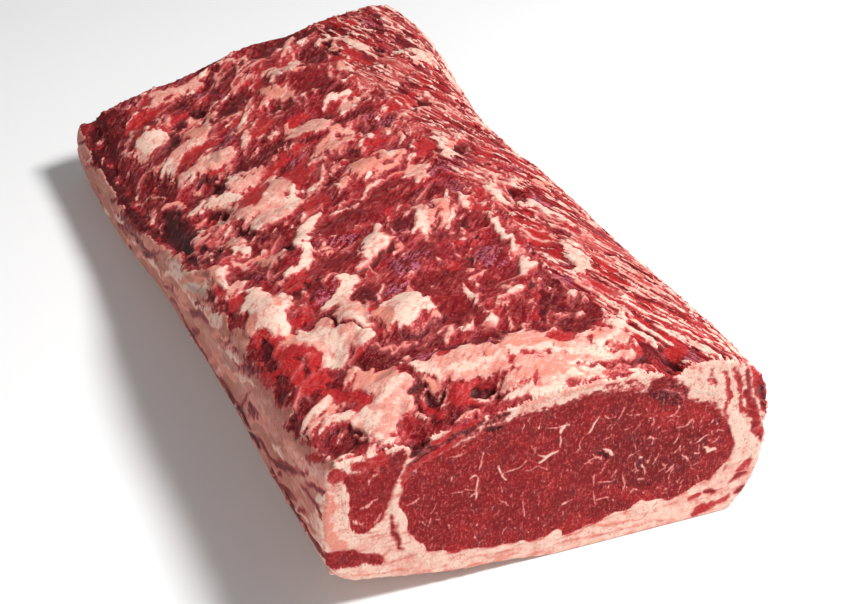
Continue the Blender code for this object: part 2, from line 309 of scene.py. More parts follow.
def group_of(name, inputs, outputs):
    tree = bpy.data.node_groups.new(name, "ShaderNodeTree")
    for direction, sockets in (("INPUT", inputs), ("OUTPUT", outputs)):
        for title, kind in sockets.items():
            tree.interface.new_socket(title, in_out=direction, socket_type="NodeSocket" + kind)
    given = tree.nodes.new("NodeGroupInput")
    out = tree.nodes.new("NodeGroupOutput")
    return tree, given.outputs, out.inputs


def mark(tree, name):
    return node_in(tree, "Attribute", attribute_name=name).outputs["Fac"]


def meat_group():
    """Fat and lean: from the marks on a piece, its colour, its wetness and its fine relief."""
    amounts = ("Fibres", "Ragged", "Crisp", "Mottle", "Flecks", "Streaks", "Veil")
    looks = {"Color": "Color", "Roughness": "Float", "Coat": "Float", "Height": "Float"}
    tree, given, out = group_of("fat and lean", dict.fromkeys(amounts, "Float"), looks)

    def times(a, b):
        return maths(tree, "MULTIPLY", a, b)

    def more(a, share, b):
        """b, and this share of a."""
        return maths(tree, "MULTIPLY_ADD", a, share, b)

    def centred(value):
        return maths(tree, "SUBTRACT", value, 0.5)

    def by_fan(rib_side, shoulder):
        """One amount on the rib side and another in the fan of the shoulder."""
        return scaled(tree, fan, 0, 1, rib_side, shoulder)

    def by_fat(lean, fat_amount):
        return scaled(tree, fat, 0, 1, lean, fat_amount)

    # the textures, from the broadest to the finest
    fibres = centred(given["Fibres"])
    broad = centred(grain(tree, 0.07, 2.0))
    patch = centred(grain(tree, 0.22, 3.0))
    fine = centred(grain(tree, 0.8, 4.0, rough=0.65))
    tiny = centred(grain(tree, 2.4, 2.0))
    threads = maths(tree, "ADD", fibres, fine)

    # where the fat ends: the marks' own edge, torn by patches, crumbs and fibres
    fan = mark(tree, "fan")
    jitter = times(patch, by_fan(4.5, 1.6))
    jitter = more(fine, by_fan(2.6, 1.4), jitter)
    jitter = more(fibres, by_fan(6.5, 11.0), jitter)
    ragged = times(given["Ragged"], scaled(tree, mark(tree, "keen"), 0, 1, 1, 0))
    edge = times(more(jitter, ragged, mark(tree, "fat")), given["Crisp"])
    edge = times(edge, by_fan(1, 1.8))
    fat = scaled(tree, edge, -0.25, 0.35)
    thin = scaled(tree, edge, -2.0, 0.2)
    thick = scaled(tree, edge, 0.0, 1.4)

    # the lean: deep and bright patches, a painted purple sheen in streaks, pale flecks and streaks, and
    # fat showing through
    uneven = more(fine, 1.2, more(fibres, -1.3, times(patch, 1.4)))
    deep = more(uneven, given["Mottle"], mark(tree, "deep"))
    bright = more(more(fine, 1.2, times(broad, 1.6)), given["Mottle"], mark(tree, "bright"))
    lean_colour = mixed(tree, scaled(tree, bright, 0, 1), MID_LEAN, BRIGHT_LEAN)
    lean_colour = mixed(tree, scaled(tree, deep, 0, 1), lean_colour, DEEP_LEAN)
    sheen = times(mark(tree, "purple"), scaled(tree, threads, -0.03, 0.15))
    lean_colour = mixed(tree, sheen, lean_colour, PAINTED_SHEEN_COLOUR)
    speck = more(fibres, 0.8, maths(tree, "ADD", fine, tiny))
    fleck = times(scaled(tree, speck, 0.06, 0.28), given["Flecks"])
    lean_colour = mixed(tree, fleck, lean_colour, FLECK)
    pale = times(scaled(tree, fibres, 0.02, 0.14), scaled(tree, broad, -0.03, 0.11))
    strand = scaled(tree, maths(tree, "ABSOLUTE", fibres), 0.020, 0.006)
    strand = times(strand, scaled(tree, patch, -0.05, 0.08))
    pale = times(maths(tree, "MAXIMUM", pale, strand), given["Streaks"])
    lean_colour = mixed(tree, pale, lean_colour, VEIL)
    lean_colour = mixed(tree, times(thin, given["Veil"]), lean_colour, VEIL)

    # the fat: pink to cream, salmon where it is warm, with blood stains and capillaries
    creamy = more(threads, 0.8, more(broad, 1.2, more(patch, 2.0, mark(tree, "cream"))))
    fat_colour = mixed(tree, scaled(tree, creamy, 0, 1), PINK_FAT, CREAM_FAT)
    warm = more(threads, -1.2, mark(tree, "salmon"))
    fat_colour = mixed(tree, scaled(tree, warm, 0.1, 1.1), fat_colour, SALMON_FAT)
    stain = times(scaled(tree, more(patch, 0.6, fibres), -0.06, -0.24), given["Streaks"])
    fat_colour = mixed(tree, stain, fat_colour, STAIN)
    off_capillary = maths(tree, "ABSOLUTE", centred(grain(tree, 0.14, 3.0)))
    capillary = times(scaled(tree, off_capillary, 0.020, 0.004), scaled(tree, broad, 0.0, 0.12))
    fat_colour = mixed(tree, times(capillary, 0.5), fat_colour, STAIN)
    fat_colour = mixed(tree, thick, VEIL, fat_colour)

    # both together, lighter and darker from crumb to crumb, and painted shade where the marks are
    # shaded: the hollows, crevices and the flank wall
    colour = mixed(tree, fat, lean_colour, fat_colour)
    crumbs = more(tiny, 0.6, fine)
    tone = scaled(tree, crumbs, -0.35, 0.35, by_fat(0.62, 0.86), by_fat(1.34, 1.12))
    colour = node_in(tree, "VectorMath", {0: colour, "Scale": tone}, operation="SCALE")
    painted_shade = scaled(tree, more(fine, 0.7, mark(tree, "shade")), 0.0, 1.1)
    tree.links.new(mixed(tree, painted_shade, colour.outputs[0], SHADOW), out["Color"])
    tree.links.new(more(fine, 0.5, by_fat(0.42, 0.5)), out["Roughness"])
    tree.links.new(scaled(tree, patch, 0.05, 0.18, 0.0, 0.18), out["Coat"])
    ridges = maths(tree, "ADD", times(fibres, by_fat(0.6, 0.4)), fine)
    tree.links.new(more(tiny, 0.25, ridges), out["Height"])
    return tree


def meat_material(name, fibre, ragged=0.85, crisp=1.0, mottle=1.0, flecks=0.3, streaks=0.5, veil=0.3,
                  bump=0.5):
    """One piece's finish: the marks on it, with its own run of fibres."""
    material = bpy.data.materials.new(name)
    material.use_nodes = True
    tree = material.node_tree
    shader = tree.nodes["Principled BSDF"]
    amounts = {"Ragged": ragged, "Crisp": crisp, "Mottle": mottle, "Flecks": flecks, "Streaks": streaks,
               "Veil": veil}
    look = node_in(tree, "Group", node_tree=meat)
    tree.links.new(fibre(tree), look.inputs["Fibres"])
    for socket, amount in amounts.items():
        look.inputs[socket].default_value = amount
    relief = {"Height": look.outputs["Height"], "Strength": bump, "Distance": FIBRE_RELIEF}
    bumps = node_in(tree, "Bump", relief)
    for name, socket in (("Color", "Base Color"), ("Roughness", "Roughness"), ("Coat", "Coat Weight")):
        tree.links.new(look.outputs[name], shader.inputs[socket])
    tree.links.new(bumps.outputs["Normal"], shader.inputs["Normal"])
    for socket, value in WET_MEAT.items():
        shader.inputs[socket].default_value = value
    return material


def fat_layers(tree):
    """The thin level layers that the cut and the flank show in the fat cap."""
    return grain(tree, 0.6, 3.0, (0.13, 0.13, 1.0))


MID_LEAN = (0.225, 0.010, 0.013)
BRIGHT_LEAN = (0.44, 0.019, 0.021)
DEEP_LEAN = (0.080, 0.0035, 0.006)
# the painted purple sheen on the lean
PAINTED_SHEEN_COLOUR = (0.42, 0.125, 0.200)
FLECK = (0.54, 0.120, 0.105)
VEIL = (0.58, 0.125, 0.118)
PINK_FAT = (0.72, 0.30, 0.245)
CREAM_FAT = (0.83, 0.57, 0.46)
SALMON_FAT = (0.73, 0.255, 0.185)
STAIN = (0.54, 0.09, 0.078)
# the dark that painted shade mixes into the colour
SHADOW = (0.026, 0.005, 0.006)
# the wet film on the meat, the light that goes a millimetre or so into it, and how deep its grain is
WET_MEAT = {"Coat Roughness": 0.22, "IOR": 1.36, "Specular IOR Level": 0.15, "Subsurface Weight": 0.06,
            "Subsurface Radius": (1.0, 0.35, 0.25), "Subsurface Scale": 0.0015}
FIBRE_RELIEF = 0.6 * MM

# What a mark leaves: fat (1) or lean (-1), how cream, salmon, deep or bright it is, how much painted
# purple sheen and painted shade it carries, how little its edge is torn, and how far it stands above
# the meat round it, in millimetres.
FAT = {"fat": 1, "salmon": 0.0, "shade": 0.0}
LEAN = {"fat": -1, "bright": 0.0, "purple": 0.0, "shade": 0.0}
KINDS = {
    "white": {**FAT, "cream": 1.0, "keen": 0.6, "rise": 0.9},
    "cream": {**FAT, "cream": 0.75, "salmon": 0.08, "keen": 0.35, "rise": 0.9},
    "pink": {**FAT, "cream": 0.22, "salmon": 0.4, "keen": 0.2, "rise": 0.6},
    "salmon": {**FAT, "cream": 0.05, "salmon": 0.85, "keen": 0.2, "rise": 0.6},
    # tan: tan fat with some painted shade over it
    "tan": {**FAT, "cream": 0.4, "salmon": 0.7, "shade": 0.3, "keen": 0.3},
    "thread": {**FAT, "cream": 0.5, "salmon": 0.1, "keen": 1.0, "rise": 0.3},
    "lean": {**LEAN, "deep": 0.35, "bright": 0.1, "keen": 0.2},
    "red": {**LEAN, "deep": 0.0, "bright": 0.9, "keen": 0.3, "rise": 0.2},
    # maroon: dark lean with a trace of painted shade
    "maroon": {**LEAN, "deep": 0.7, "shade": 0.05, "keen": 0.3, "rise": -0.5},
    # purple: darker lean with a painted purple sheen over it
    "purple": {**LEAN, "deep": 0.45, "bright": 0.1, "purple": 0.85, "keen": 0.0},
    # dark: dark lean sunk into crevices, with painted shade over it
    "dark": {**LEAN, "deep": 0.9, "shade": 0.55, "keen": 0.6, "rise": -1.0},
    "shade": {"shade": 0.45, "rise": -0.3},
    "mottle": {**LEAN, "fat": 0, "cream": 0.3, "salmon": 0.3, "deep": 0.2, "bright": 0.55},
}


def brush(kind):
    """A brush that lays one kind of mark on the side at hand."""
    def lay(half_width, *path):
        strokes.append((kind, half_width, *path))
    return lay


(white, cream, pink, salmon, tan, thread, lean, red, maroon, purple, dark, shade,
 mottle) = (brush(kind) for kind in KINDS)

# the strokes on each side of the loin, later ones on top, and what lies under them
marks = {"top": [], "near": [], "flank": [], "chine": [], "far": [], "under": []}
BASE = {
    # the flank wall faces away from the lamp, so its ground carries painted shade all over
    "flank": {"fat": 5.0, "cream": 0.2, "salmon": 1.0, "shade": 0.4},
    "chine": {"fat": 2.6, "cream": 0.5, "salmon": 0.2, "bright": 0.5},
    "under": {"fat": 5.0, "cream": 0.7, "salmon": 0.05},
}

# the thick white seam left of the eye, and the fat under the eye
strokes = marks["near"]
white(3, (-75, 58), (-75, 45), (-71, 30), (-61, 18))
lean(0.5, (-78, 43), (-75, 33), (-71, 25))
salmon(3, (-107, 54), (-104, 40), (-98, 34))
tan(4, (-110, 68), (-109, 54))
red(3.4, (-108, 75), (-103, 72), (-100, 70))
salmon(2.4, (-106, 62), (-103, 52))
cream(1.4, (-100, 68), (-98, 60), (-97, 50))
white(3, (80, 64), (88, 50), (92, 38), (90, 26))
red(0.6, (82, 63), (84, 52))
white(2.4, (-6, 8), (0, 12), (3, 10))
lean(3, (18, 18), (30, 19), (37, 18))
cream(3, (40, 15), (50, 14))
salmon(0.8, (-62, 8), (-40, 5), (-18, 6))
pink(0.8, (-44, 10), (-20, 9))
pink(0.8, (-4, 6), (30, 5), (62, 3))
salmon(0.7, (4, 9), (22, 10), (44, 8))
salmon(0.6, (-96, 18), (-80, 14), (-66, 12))
white(1.4, (-34, 13), (-10, 10))
red(1.4, (69, 11), (73, 12))
lean(1.2, (76, 13), (81, 13))
red(1.9, (70, 3), (80, 5))
red(1.6, (81, 4), (88, 7))
lean(1.2, (92, 8), (96, 11))
red(1.3, (93, 20), (100, 27))
lean(1, (89, 15), (97, 19))
red(0.8, (98, 22), (101, 30))
white(2, (109, 62), (110, 46))
white(2.6, (97, 40), (101, 30), (104, 22))
salmon(1.2, (107, 40), (108, 36))

# the flank wall: pale by the near cut, red along its upper edge, with dark streaks low down that carry
# painted shade, and broad bands of painted shade
strokes = marks["flank"]
salmon(5, (4, 56), (8, 46))
cream(4, (2, 62), (12, 40))
cream(5, (2, 50), (6, 30))
salmon(3, (0, 66), (16, 60))
red(1.4, (8, 74), (22, 66))
red(1.2, (20, 76), (34, 70))
shade(2.4, (112, 60), (122, 44))
shade(3, (34, 36), (60, 33), (90, 38))
lean(2.4, (6, 78), (24, 72), (44, 68))
pink(3, (0, 70), (25, 62), (48, 58))
red(6.5, (58, 74), (84, 74), (108, 72))
lean(2.6, (56, 72), (70, 68))
shade(5, (20, 48), (60, 50), (90, 44), (140, 36))
shade(3, (100, 66), (150, 56), (190, 50))
tan(4, (200, 60), (240, 52), (270, 44))
tan(5, (60, 56), (120, 50), (170, 44))
maroon(3.2, (-4, 29), (20, 27), (50, 25))
dark(1.6, (-4, 32), (24, 30), (70, 29))
maroon(2, (50, 40), (70, 36), (90, 34))
dark(4.6, (86, 29), (112, 32), (138, 29))
maroon(1.4, (140, 30), (180, 28), (220, 30))
maroon(1.8, (165, 27), (190, 28), (215, 29))
lean(2.6, (128, 74), (150, 68), (166, 66))
lean(2.6, (186, 72), (230, 66), (262, 58))
cream(6, (150, 60), (200, 54), (250, 48))
shade(4, (180, 42), (230, 38), (260, 34))
maroon(1.3, (258, 36), (300, 32), (340, 26))
tan(6, (300, 40), (360, 36), (430, 34))
shade(4, (320, 24), (380, 22), (430, 24))
FLANK_MIX = ("tan", "salmon", "salmon", "cream", "shade", "tan", "maroon", "lean")
CHINE_FAT_MIX = ("pink", "cream", "salmon", "cream", "pink", "tan", "lean")
marks["flank"] += slanted(7, 190, (0, 12), (440, 70), -20, 9, FLANK_MIX, 44, 2.2)
marks["chine"] += slanted(8, 130, (0, 8), (440, 56), 2, 5, CHINE_FAT_MIX, 60, 2.6)

meat = meat_group()
fat_cap = carve("fat_cap", "fat-cap")
fat_cap.data.materials.append(meat_material("fat cap", fat_layers, 0.3, 1.0, 0.7, 0.3, 0.4, 0.2, 0.3))
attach(fat_cap, "root")
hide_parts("fat_cap")

# ---------------------------------------------------------------------------------------------------
# The lean strip. A thin dark muscle layer that runs through the fat low on the flank side. The knife
# cut it across with the rest, so it shows as one short flat band in the near cut.
# ---------------------------------------------------------------------------------------------------
STRIP = ((-124, 30), (-103, 32), (-91, 28.5), (-82, 22), (-81, 19), (-90, 20.5), (-103, 23), (-124, 25))


def cut_fibres(tree):
    """The ends of the fibres in a cut across the grain."""
    return grain(tree, 1.1, 3.0, (1.0, 0.6, 0.4))


lean_strip = carve("lean_strip", "lean-strip")
strip_lean = meat_material("lean strip in the fat", cut_fibres, 0.5, 1.5, 0.8, 0.3, 0.3, 0.2, 0.4)
lean_strip.data.materials.append(strip_lean)
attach(lean_strip, "root")
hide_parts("lean_strip")

# ---------------------------------------------------------------------------------------------------
# The eye muscle. The big oval of lean that makes the steak, cut straight across its grain: fine dark
# fibre ends with pale flecks, and thin branching veins of white marbling.
# ---------------------------------------------------------------------------------------------------
EYE = ((-73, 56), (-64, 67), (-42, 74), (-26, 79), (-4, 80), (18, 82.5), (48, 77), (62, 68), (77, 61),
       (88, 43), (86, 28), (64, 16), (34, 17), (8, 10), (-35, 14.5), (-61, 21), (-71, 40))
BASE["near"] = {"fat": -3.0, "deep": 0.20, "bright": 0.34, "cream": 0.6, "salmon": 0.12}
BASE["far"] = {"fat": -3.0, "deep": 0.4, "bright": 0.2, "cream": 0.6, "salmon": 0.12}

# the darker end of the eye, and the veins from the flank side to the chine side
strokes = marks["near"]
lean(15, (30, 44), (48, 40), (66, 42))
white(0.65, (-39, 42), (-38, 48), (-36.5, 54))
white(0.6, (-42, 53), (-37, 54.5))
pink(0.4, (-44, 48), (-39, 47))
white(0.65, (-26, 58), (-25.5, 51), (-23, 47))
pink(0.45, (-24, 51), (-20, 51), (-15, 54))
pink(0.45, (-61, 33), (-58, 38))
pink(0.4, (-64, 38), (-62, 34))
pink(0.4, (-58, 40), (-56, 44))
pink(0.4, (-69, 46), (-65, 48))
white(1, (-8, 52), (-4, 55.5), (-1, 57))
white(0.5, (-9, 56.5), (-5, 54))
pink(0.4, (-14, 49), (-8, 50), (-4, 47))
white(0.55, (0, 58), (1, 64))
white(0.95, (1, 65), (3, 70))
white(0.45, (-4, 69.5), (5, 69))
pink(0.5, (-50, 66), (-42, 67))
pink(0.5, (-36, 57), (-35, 64))
pink(0.4, (-50, 49), (-44, 48))
pink(0.4, (-28, 40), (-25, 36), (-22, 31))
pink(0.4, (-15, 34), (-14, 26))
pink(0.5, (2, 26), (9, 30))
white(0.65, (13, 61), (16, 66), (19, 70))
pink(0.4, (22, 70), (28, 68))
pink(0.45, (33, 68), (42, 66))
dark(1, (21, 49), (25, 46))
white(1, (22, 51), (27, 46.5))
pink(0.5, (13, 46), (19, 48), (22, 46))
pink(0.5, (19, 40), (18.5, 33))
pink(0.5, (18.5, 30), (19.5, 20))
pink(0.45, (20, 33), (25, 34), (30, 33))
pink(0.45, (18, 25), (24, 24), (29, 21))
pink(0.4, (32, 24), (34, 30), (33, 36))
white(0.6, (43, 37), (44, 31))
pink(0.4, (40, 50), (46, 52), (50, 50))
pink(0.4, (9, 52), (12, 60))
white(0.65, (69, 42), (76, 45))
white(0.7, (73, 39), (79, 36))
pink(0.5, (64, 38), (67, 33))
pink(0.5, (61, 53), (66, 55))
pink(0.45, (58, 40), (62, 43))
pink(0.4, (50, 30), (55, 34))
marks["near"] += slanted(5, 190, (-70, 14), (86, 78), 65, 30, ("pink",), 3.8, 0.42)
marks["near"] += slanted(6, 110, (18, 18), (86, 70), 50, 40, ("pink", "pink", "maroon"), 5.0, 0.52)
marks["far"] += slanted(9, 160, (-90, 14), (96, 70), 65, 30, ("pink",), 3.0, 0.5)

eye_muscle = carve("eye_muscle", "eye-muscle")
eye_lean = meat_material("eye muscle, cut across", cut_fibres, 0.16, 2.4, 0.8, 0.65, 0.05, 0.08, 0.3)
eye_muscle.data.materials.append(eye_lean)
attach(eye_muscle, "root")
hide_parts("eye_muscle")

# ---------------------------------------------------------------------------------------------------
# The side muscle. The small muscle on the flank side of the eye, parted from it by a white seam of
# fat and cut across with it, so it has the same grain with a few pale streaks.
# ---------------------------------------------------------------------------------------------------
SIDE = ((-98, 58), (-100, 70), (-90, 70), (-80, 75), (-71, 75), (-74, 62), (-80, 47), (-84, 40),
        (-91, 38), (-96, 43))

strokes = marks["near"]
pink(0.7, (-91, 50), (-84, 54))
pink(0.6, (-95, 46), (-90, 44))
pink(0.6, (-84, 42), (-82, 47))
pink(0.5, (-87, 62), (-84, 66))

side_muscle = carve("side_muscle", "side-muscle")
side_lean = meat_material("side muscle, cut across", cut_fibres, 0.3, 2.0, 0.6, 0.4, 0.2, 0.1, 0.3)
side_muscle.data.materials.append(side_lean)
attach(side_muscle, "root")
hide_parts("side_muscle")

# ---------------------------------------------------------------------------------------------------
# The chine strap. The long thin strap of lean that lay along the backbone, with the shoulder of the
# loin over it. The bones were pulled off it, which left a fan of white and red streaks that runs down
# towards the near cut.
# ---------------------------------------------------------------------------------------------------
CHINE = ((92, 66), (92, 76), (101, 74), (106, 58), (107, 44), (104, 34), (99, 40), (95, 52))
RIB_WAY = 50        # how the smears of the rib side lie in plan, in degrees from across the loin
FAN_WAY = -72       # and the streaks of the shoulder
FAN_FROM = 46       # where the shoulder starts
MIXED = ("pink", "pink", "salmon", "red", "red", "maroon", "maroon", "purple", "cream")
FAN_MIX = (*MIXED, "lean", "red", "thread")
FAN_CLEAR = ("cream", "white", "red", "maroon")
WALL_MIX = ("red", "lean", "pink", "maroon", "white")

# the strap's end in the near cut, with the loop of fat in it
strokes = marks["near"]
red(2.6, (94, 76), (98, 62), (101, 48), (104, 38))
maroon(1.6, (100, 66), (103, 50))
cream(1, (96, 66), (98, 58), (101, 50), (102, 44), (100, 50), (97, 60))
white(0.9, (93, 76), (95, 68))
marks["chine"] += slanted(18, 170, (0, 44), (440, 78), 6, 8, WALL_MIX, 46, 1.7)
shoulder_under = slanted(2, 380, (42, 0), (96, 440), FAN_WAY, 9, FAN_MIX, 42, 1.6)
shoulder_over = slanted(4, 300, (44, 0), (104, 440), FAN_WAY, 9, FAN_CLEAR, 26, 1.0)
shoulder_over += slanted(11, 170, (46, 60), (100, 436), FAN_WAY, 8, ("thread", "lean"), 46, 0.9)
# the clear fan by the near cut, in two rows
IN_ROW = 11
for streak in range(2 * IN_ROW):
    if streak < IN_ROW:
        kind, y, reach = ("white", "red")[streak % 2], 72 - 2 * streak, 52
    else:
        kind, y, reach = ("pink", "red", "cream", "maroon")[streak % 4], 126 - 1.5 * streak, 42
    x = 60 + 2.9 * (streak % IN_ROW)
    width = 1.1 + 0.35 * math.sin(streak * 1.7)
    shoulder_over.append((kind, width, (x - 7, y), (x + 2, y - 24), (x + 12, y - reach)))
# the streaks along the outer edge
for streak in range(90):
    y = 6 + 4.9 * streak
    x = 92 + 6 * math.sin(streak * 2.4)
    kind = ("white", "red", "thread", "maroon", "red", "lean")[(streak * 5) % 6]
    width = 1.0 + 0.5 * math.sin(streak)
    shoulder_over.append((kind, width, (x, y), (x - 2 + 4 * math.cos(streak), y + 26)))


def top_fibres(tree):
    """Fibres along the smears of the rib side, and along the streaks of the shoulder."""
    smears = grain(tree, 0.55, 3.0, (0.25, 1.0, 1.0), RIB_WAY)
    streaks = grain(tree, 0.62, 2.5, (0.06, 1.0, 1.0), FAN_WAY)
    both = node_in(tree, "Mix", {0: mark(tree, "fan"), 2: smears, 3: streaks})
    return both.outputs[0]


chine_strap = carve("chine_strap", "chine-strap")
chine_strap.data.materials.append(meat_material("chine strap", top_fibres))
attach(chine_strap, "root")
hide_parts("chine_strap")

# ---------------------------------------------------------------------------------------------------
# The rib cover. The rib side of the loin, left open where the ribs were cut off: bands of lean between
# them, and scraps of fat, sinew and torn muscle smeared across. It is wet, lumpy and ragged.
# ---------------------------------------------------------------------------------------------------
# the top's lean carries a little painted purple sheen all over
BASE["top"] = {"fat": -3.0, "deep": 0.25, "bright": 0.25, "purple": 0.1, "cream": 0.5, "salmon": 0.3}
FAR_MIX = ("pink", "pink", "salmon", "cream", "red")
SCRAPS = ("pink", "cream", "red", "maroon")

# the cut edge of the cover, over the eye, with painted shade under the notch at its flank end
strokes = marks["near"]
red(2.6, (-94, 74), (-86, 72), (-78, 76))
maroon(3.4, (-68, 66), (-52, 75), (-36, 81))
red(1.6, (-58, 76), (-40, 83))
dark(2.2, (-67, 72), (-60, 77))
red(1.8, (-46, 80), (-30, 86))
dark(1.1, (-34, 76), (-27, 77))
red(1.8, (-72, 60), (-60, 69), (-44, 76))
maroon(1.6, (-34, 79), (-24, 82))
pink(2, (-20, 86), (0, 86), (18, 88))
mottle(3.4, (22, 84), (42, 79))
maroon(2.6, (44, 78), (52, 72), (60, 66))
lean(3, (46, 80), (56, 76), (62, 70))
cream(5, (60, 79), (70, 76), (78, 71))
red(0.9, (79, 78), (82, 70), (84, 62))
red(1, (86, 78), (89, 66), (91, 54))
red(0.6, (74, 79), (75, 74))
marks["top"] += slanted(1, 420, (-100, 0), (46, 440), RIB_WAY, 16, MIXED, 20, 1.9)
marks["top"] += shoulder_under
marks["top"] += slanted(12, 170, (-88, 232), (46, 436), 44, 14, FAR_MIX, 26, 2.6)
strokes = marks["top"]

# flank side of the near third: the red chunk, its lines, the oval muscle
salmon(12, (-70, 50), (-60, 60))
pink(12, (-80, 12), (-70, 30), (-60, 42))
red(11, (-94, 55), (-90, 76), (-90, 98), (-95, 112))
maroon(5, (-89, 62), (-87, 88))
red(3, (-81, 66), (-80, 88))
maroon(3, (-107, 42), (-103, 62), (-101, 84), (-99, 106))
dark(2.6, (-97, 100), (-98, 110))
maroon(4, (-101, 50), (-90, 56), (-80, 58))
pink(0.7, (-108, 47), (-100, 55), (-95, 62), (-87, 67))
pink(0.6, (-105, 58), (-97, 66))
salmon(2, (-91, 97), (-84, 91))
cream(4, (-103, 34), (-95, 42), (-87, 47))
cream(5, (-100, 30), (-91, 33), (-81, 25))
pink(4, (-104, 29), (-92, 36))
salmon(3, (-90, 40), (-82, 42))
red(4.5, (-87, 53), (-79, 47), (-73, 38))
red(2, (-81, 32), (-73, 40))
cream(3, (-68, 34), (-56, 42))
shade(3, (-63, 49), (-57, 51))
shade(1.4, (-52, 39), (-51, 49))
white(2.2, (-79, 14), (-75, 33))
shade(1.4, (-66, 14), (-61, 29))
cream(3, (-84, 5), (-78, 10))
maroon(8.5, (-95, 10), (-91, 15))
lean(5, (-95, 12), (-92, 16))
dark(1.2, (-100, 20), (-93, 23), (-86, 20), (-83, 12), (-83, 4))
white(1.4, (-105, 18), (-104, 8), (-99, 0))
red(4, (-110, 5), (-102, 1))
white(1, (-105, 7), (-94, 0))

# the round muscle and the lobed one beside the near edge
red(8, (-54, 10), (-52, 22))
maroon(4, (-57, 25), (-54, 8))
dark(2.6, (-56, 31), (-49, 29), (-43, 24))
pink(1.5, (-59, 18), (-54, 16))
red(8, (-38, 20), (-29, 17))
dark(3.4, (-31, 19), (-25, 13))
maroon(4, (-50, 7), (-38, 6))
cream(2.6, (-33, 14), (-30, 8))
pink(2.2, (-58, 20), (-56, 13))
cream(2.4, (-79, 4), (-71, 5))
pink(1.8, (-46, 3), (-36, 2))
dark(2.5, (-67, 1), (-59, -1))

# the fat slab behind the near cut
pink(14, (-38, 40), (-8, 36), (20, 30))
pink(10, (-18, 14), (10, 12), (36, 12))
pink(8, (30, 34), (42, 28))
cream(5, (-47, 47), (-40, 36))
salmon(3, (-48, 34), (-42, 30))
cream(4, (-38, 38), (-27, 35))
salmon(2, (-24, 45), (-8, 38), (4, 31))
salmon(1.6, (-4, 44), (10, 36), (18, 28))
cream(2, (-14, 46), (-2, 40), (8, 33))
cream(1.6, (-28, 34), (-14, 28), (-4, 20))
salmon(1.4, (-14, 26), (0, 18), (12, 14))
red(0.8, (-10, 34), (0, 28), (8, 22))
cream(1.8, (14, 24), (24, 20), (34, 26))
white(3.5, (-24, 4), (-6, 4), (3, 2))
white(4, (6, 9), (15, 8))
cream(4, (14, 14), (24, 10))
white(4, (26, 19), (34, 17))
mottle(4, (24, 5), (46, 4))
lean(1.6, (26, 9), (44, 9))
cream(2, (34, 2), (40, 1))
red(2.5, (-35, 47), (-29, 54))
red(3, (-27, 54), (-22, 53))
lean(0.9, (-25, 13), (-17, 18), (-10, 23))
red(0.9, (-18, 8), (-9, 12))
red(1.2, (-8, 9), (-5, 12))
red(4, (12, 37), (24, 36))
red(2.5, (20, 42), (25, 50))
lean(1.5, (20, 13), (28, 10))
lean(1.4, (0, 20), (7, 24))
dark(2, (41, 8), (46, 10))

# the step up to the lean, and the lean band behind it
lean(13, (-10, 72), (-10, 90), (-8, 120))
maroon(7, (-66, 66), (-54, 66), (-42, 68), (-28, 70))
maroon(4.5, (-70, 70), (-62, 60), (-50, 57), (-34, 56), (-18, 55), (-2, 52), (12, 48))
purple(4, (-42, 52), (-36, 60))
pink(2, (-47, 56), (-45, 62))
purple(1.8, (-19, 49), (-4, 46))
thread(0.8, (-58, 72), (-45, 70), (-30, 71), (-22, 70), (-14, 67), (-9, 68))
thread(0.7, (-50, 78), (-40, 75), (-28, 77))
cream(2.2, (-15, 66), (-11, 66))
cream(1.4, (-10, 67), (-5, 74))
white(2.3, (-5, 60), (-2, 75), (0, 90), (0, 103))
pink(1.2, (4, 56), (7, 70), (9, 82))

# fat lumps of the near third
pink(12, (-74, 80), (-66, 104))
pink(8, (-60, 80), (-54, 106), (-52, 122))
salmon(6, (-87, 92), (-85, 105))
cream(3.5, (-79, 92), (-79, 108))
cream(5, (-74, 69), (-71, 84), (-73, 98))
white(2, (-69, 76), (-68, 96))
cream(4, (-60, 100), (-56, 90), (-58, 76))
dark(0.9, (-68, 112), (-65, 99), (-57, 90), (-50, 84))
red(3.4, (-81, 113), (-71, 117))
maroon(2.6, (-66, 108), (-64, 112))
cream(14, (-37, 87), (-31, 97))
white(6, (-31, 99), (-27, 90))
salmon(3, (-46, 82), (-45, 98))
shade(2, (-49, 107), (-50, 92))
red(2, (-46, 101), (-44, 101))
dark(1.8, (-35, 104), (-33, 106))
maroon(3, (-52, 75), (-41, 76), (-33, 72), (-22, 76))
maroon(5.5, (-47, 110), (-44, 124))
purple(5, (-35, 114), (-24, 117))
white(1.3, (-40, 108), (-36, 116), (-33, 122))
cream(5, (-62, 118), (-54, 124), (-47, 133), (-45, 142))

# the white ridge along the flank
cream(8, (-87, 112), (-88, 126), (-90, 140), (-88, 156))
white(3, (-86, 112), (-85, 126))
cream(4, (-81, 128), (-76, 142))
salmon(3, (-98, 118), (-96, 131))
salmon(1.5, (-84, 128), (-80, 143))

# between the ridge and the middle
maroon(8, (-69, 132), (-60, 141))
purple(4, (-62, 129), (-53, 134))
red(2.5, (-74, 126), (-69, 119))
white(1.8, (-69, 138), (-67, 135))
red(6, (-70, 147), (-60, 156))
mottle(4, (-40, 130), (-23, 135))
purple(7, (-18, 128), (-14, 142), (-4, 144))

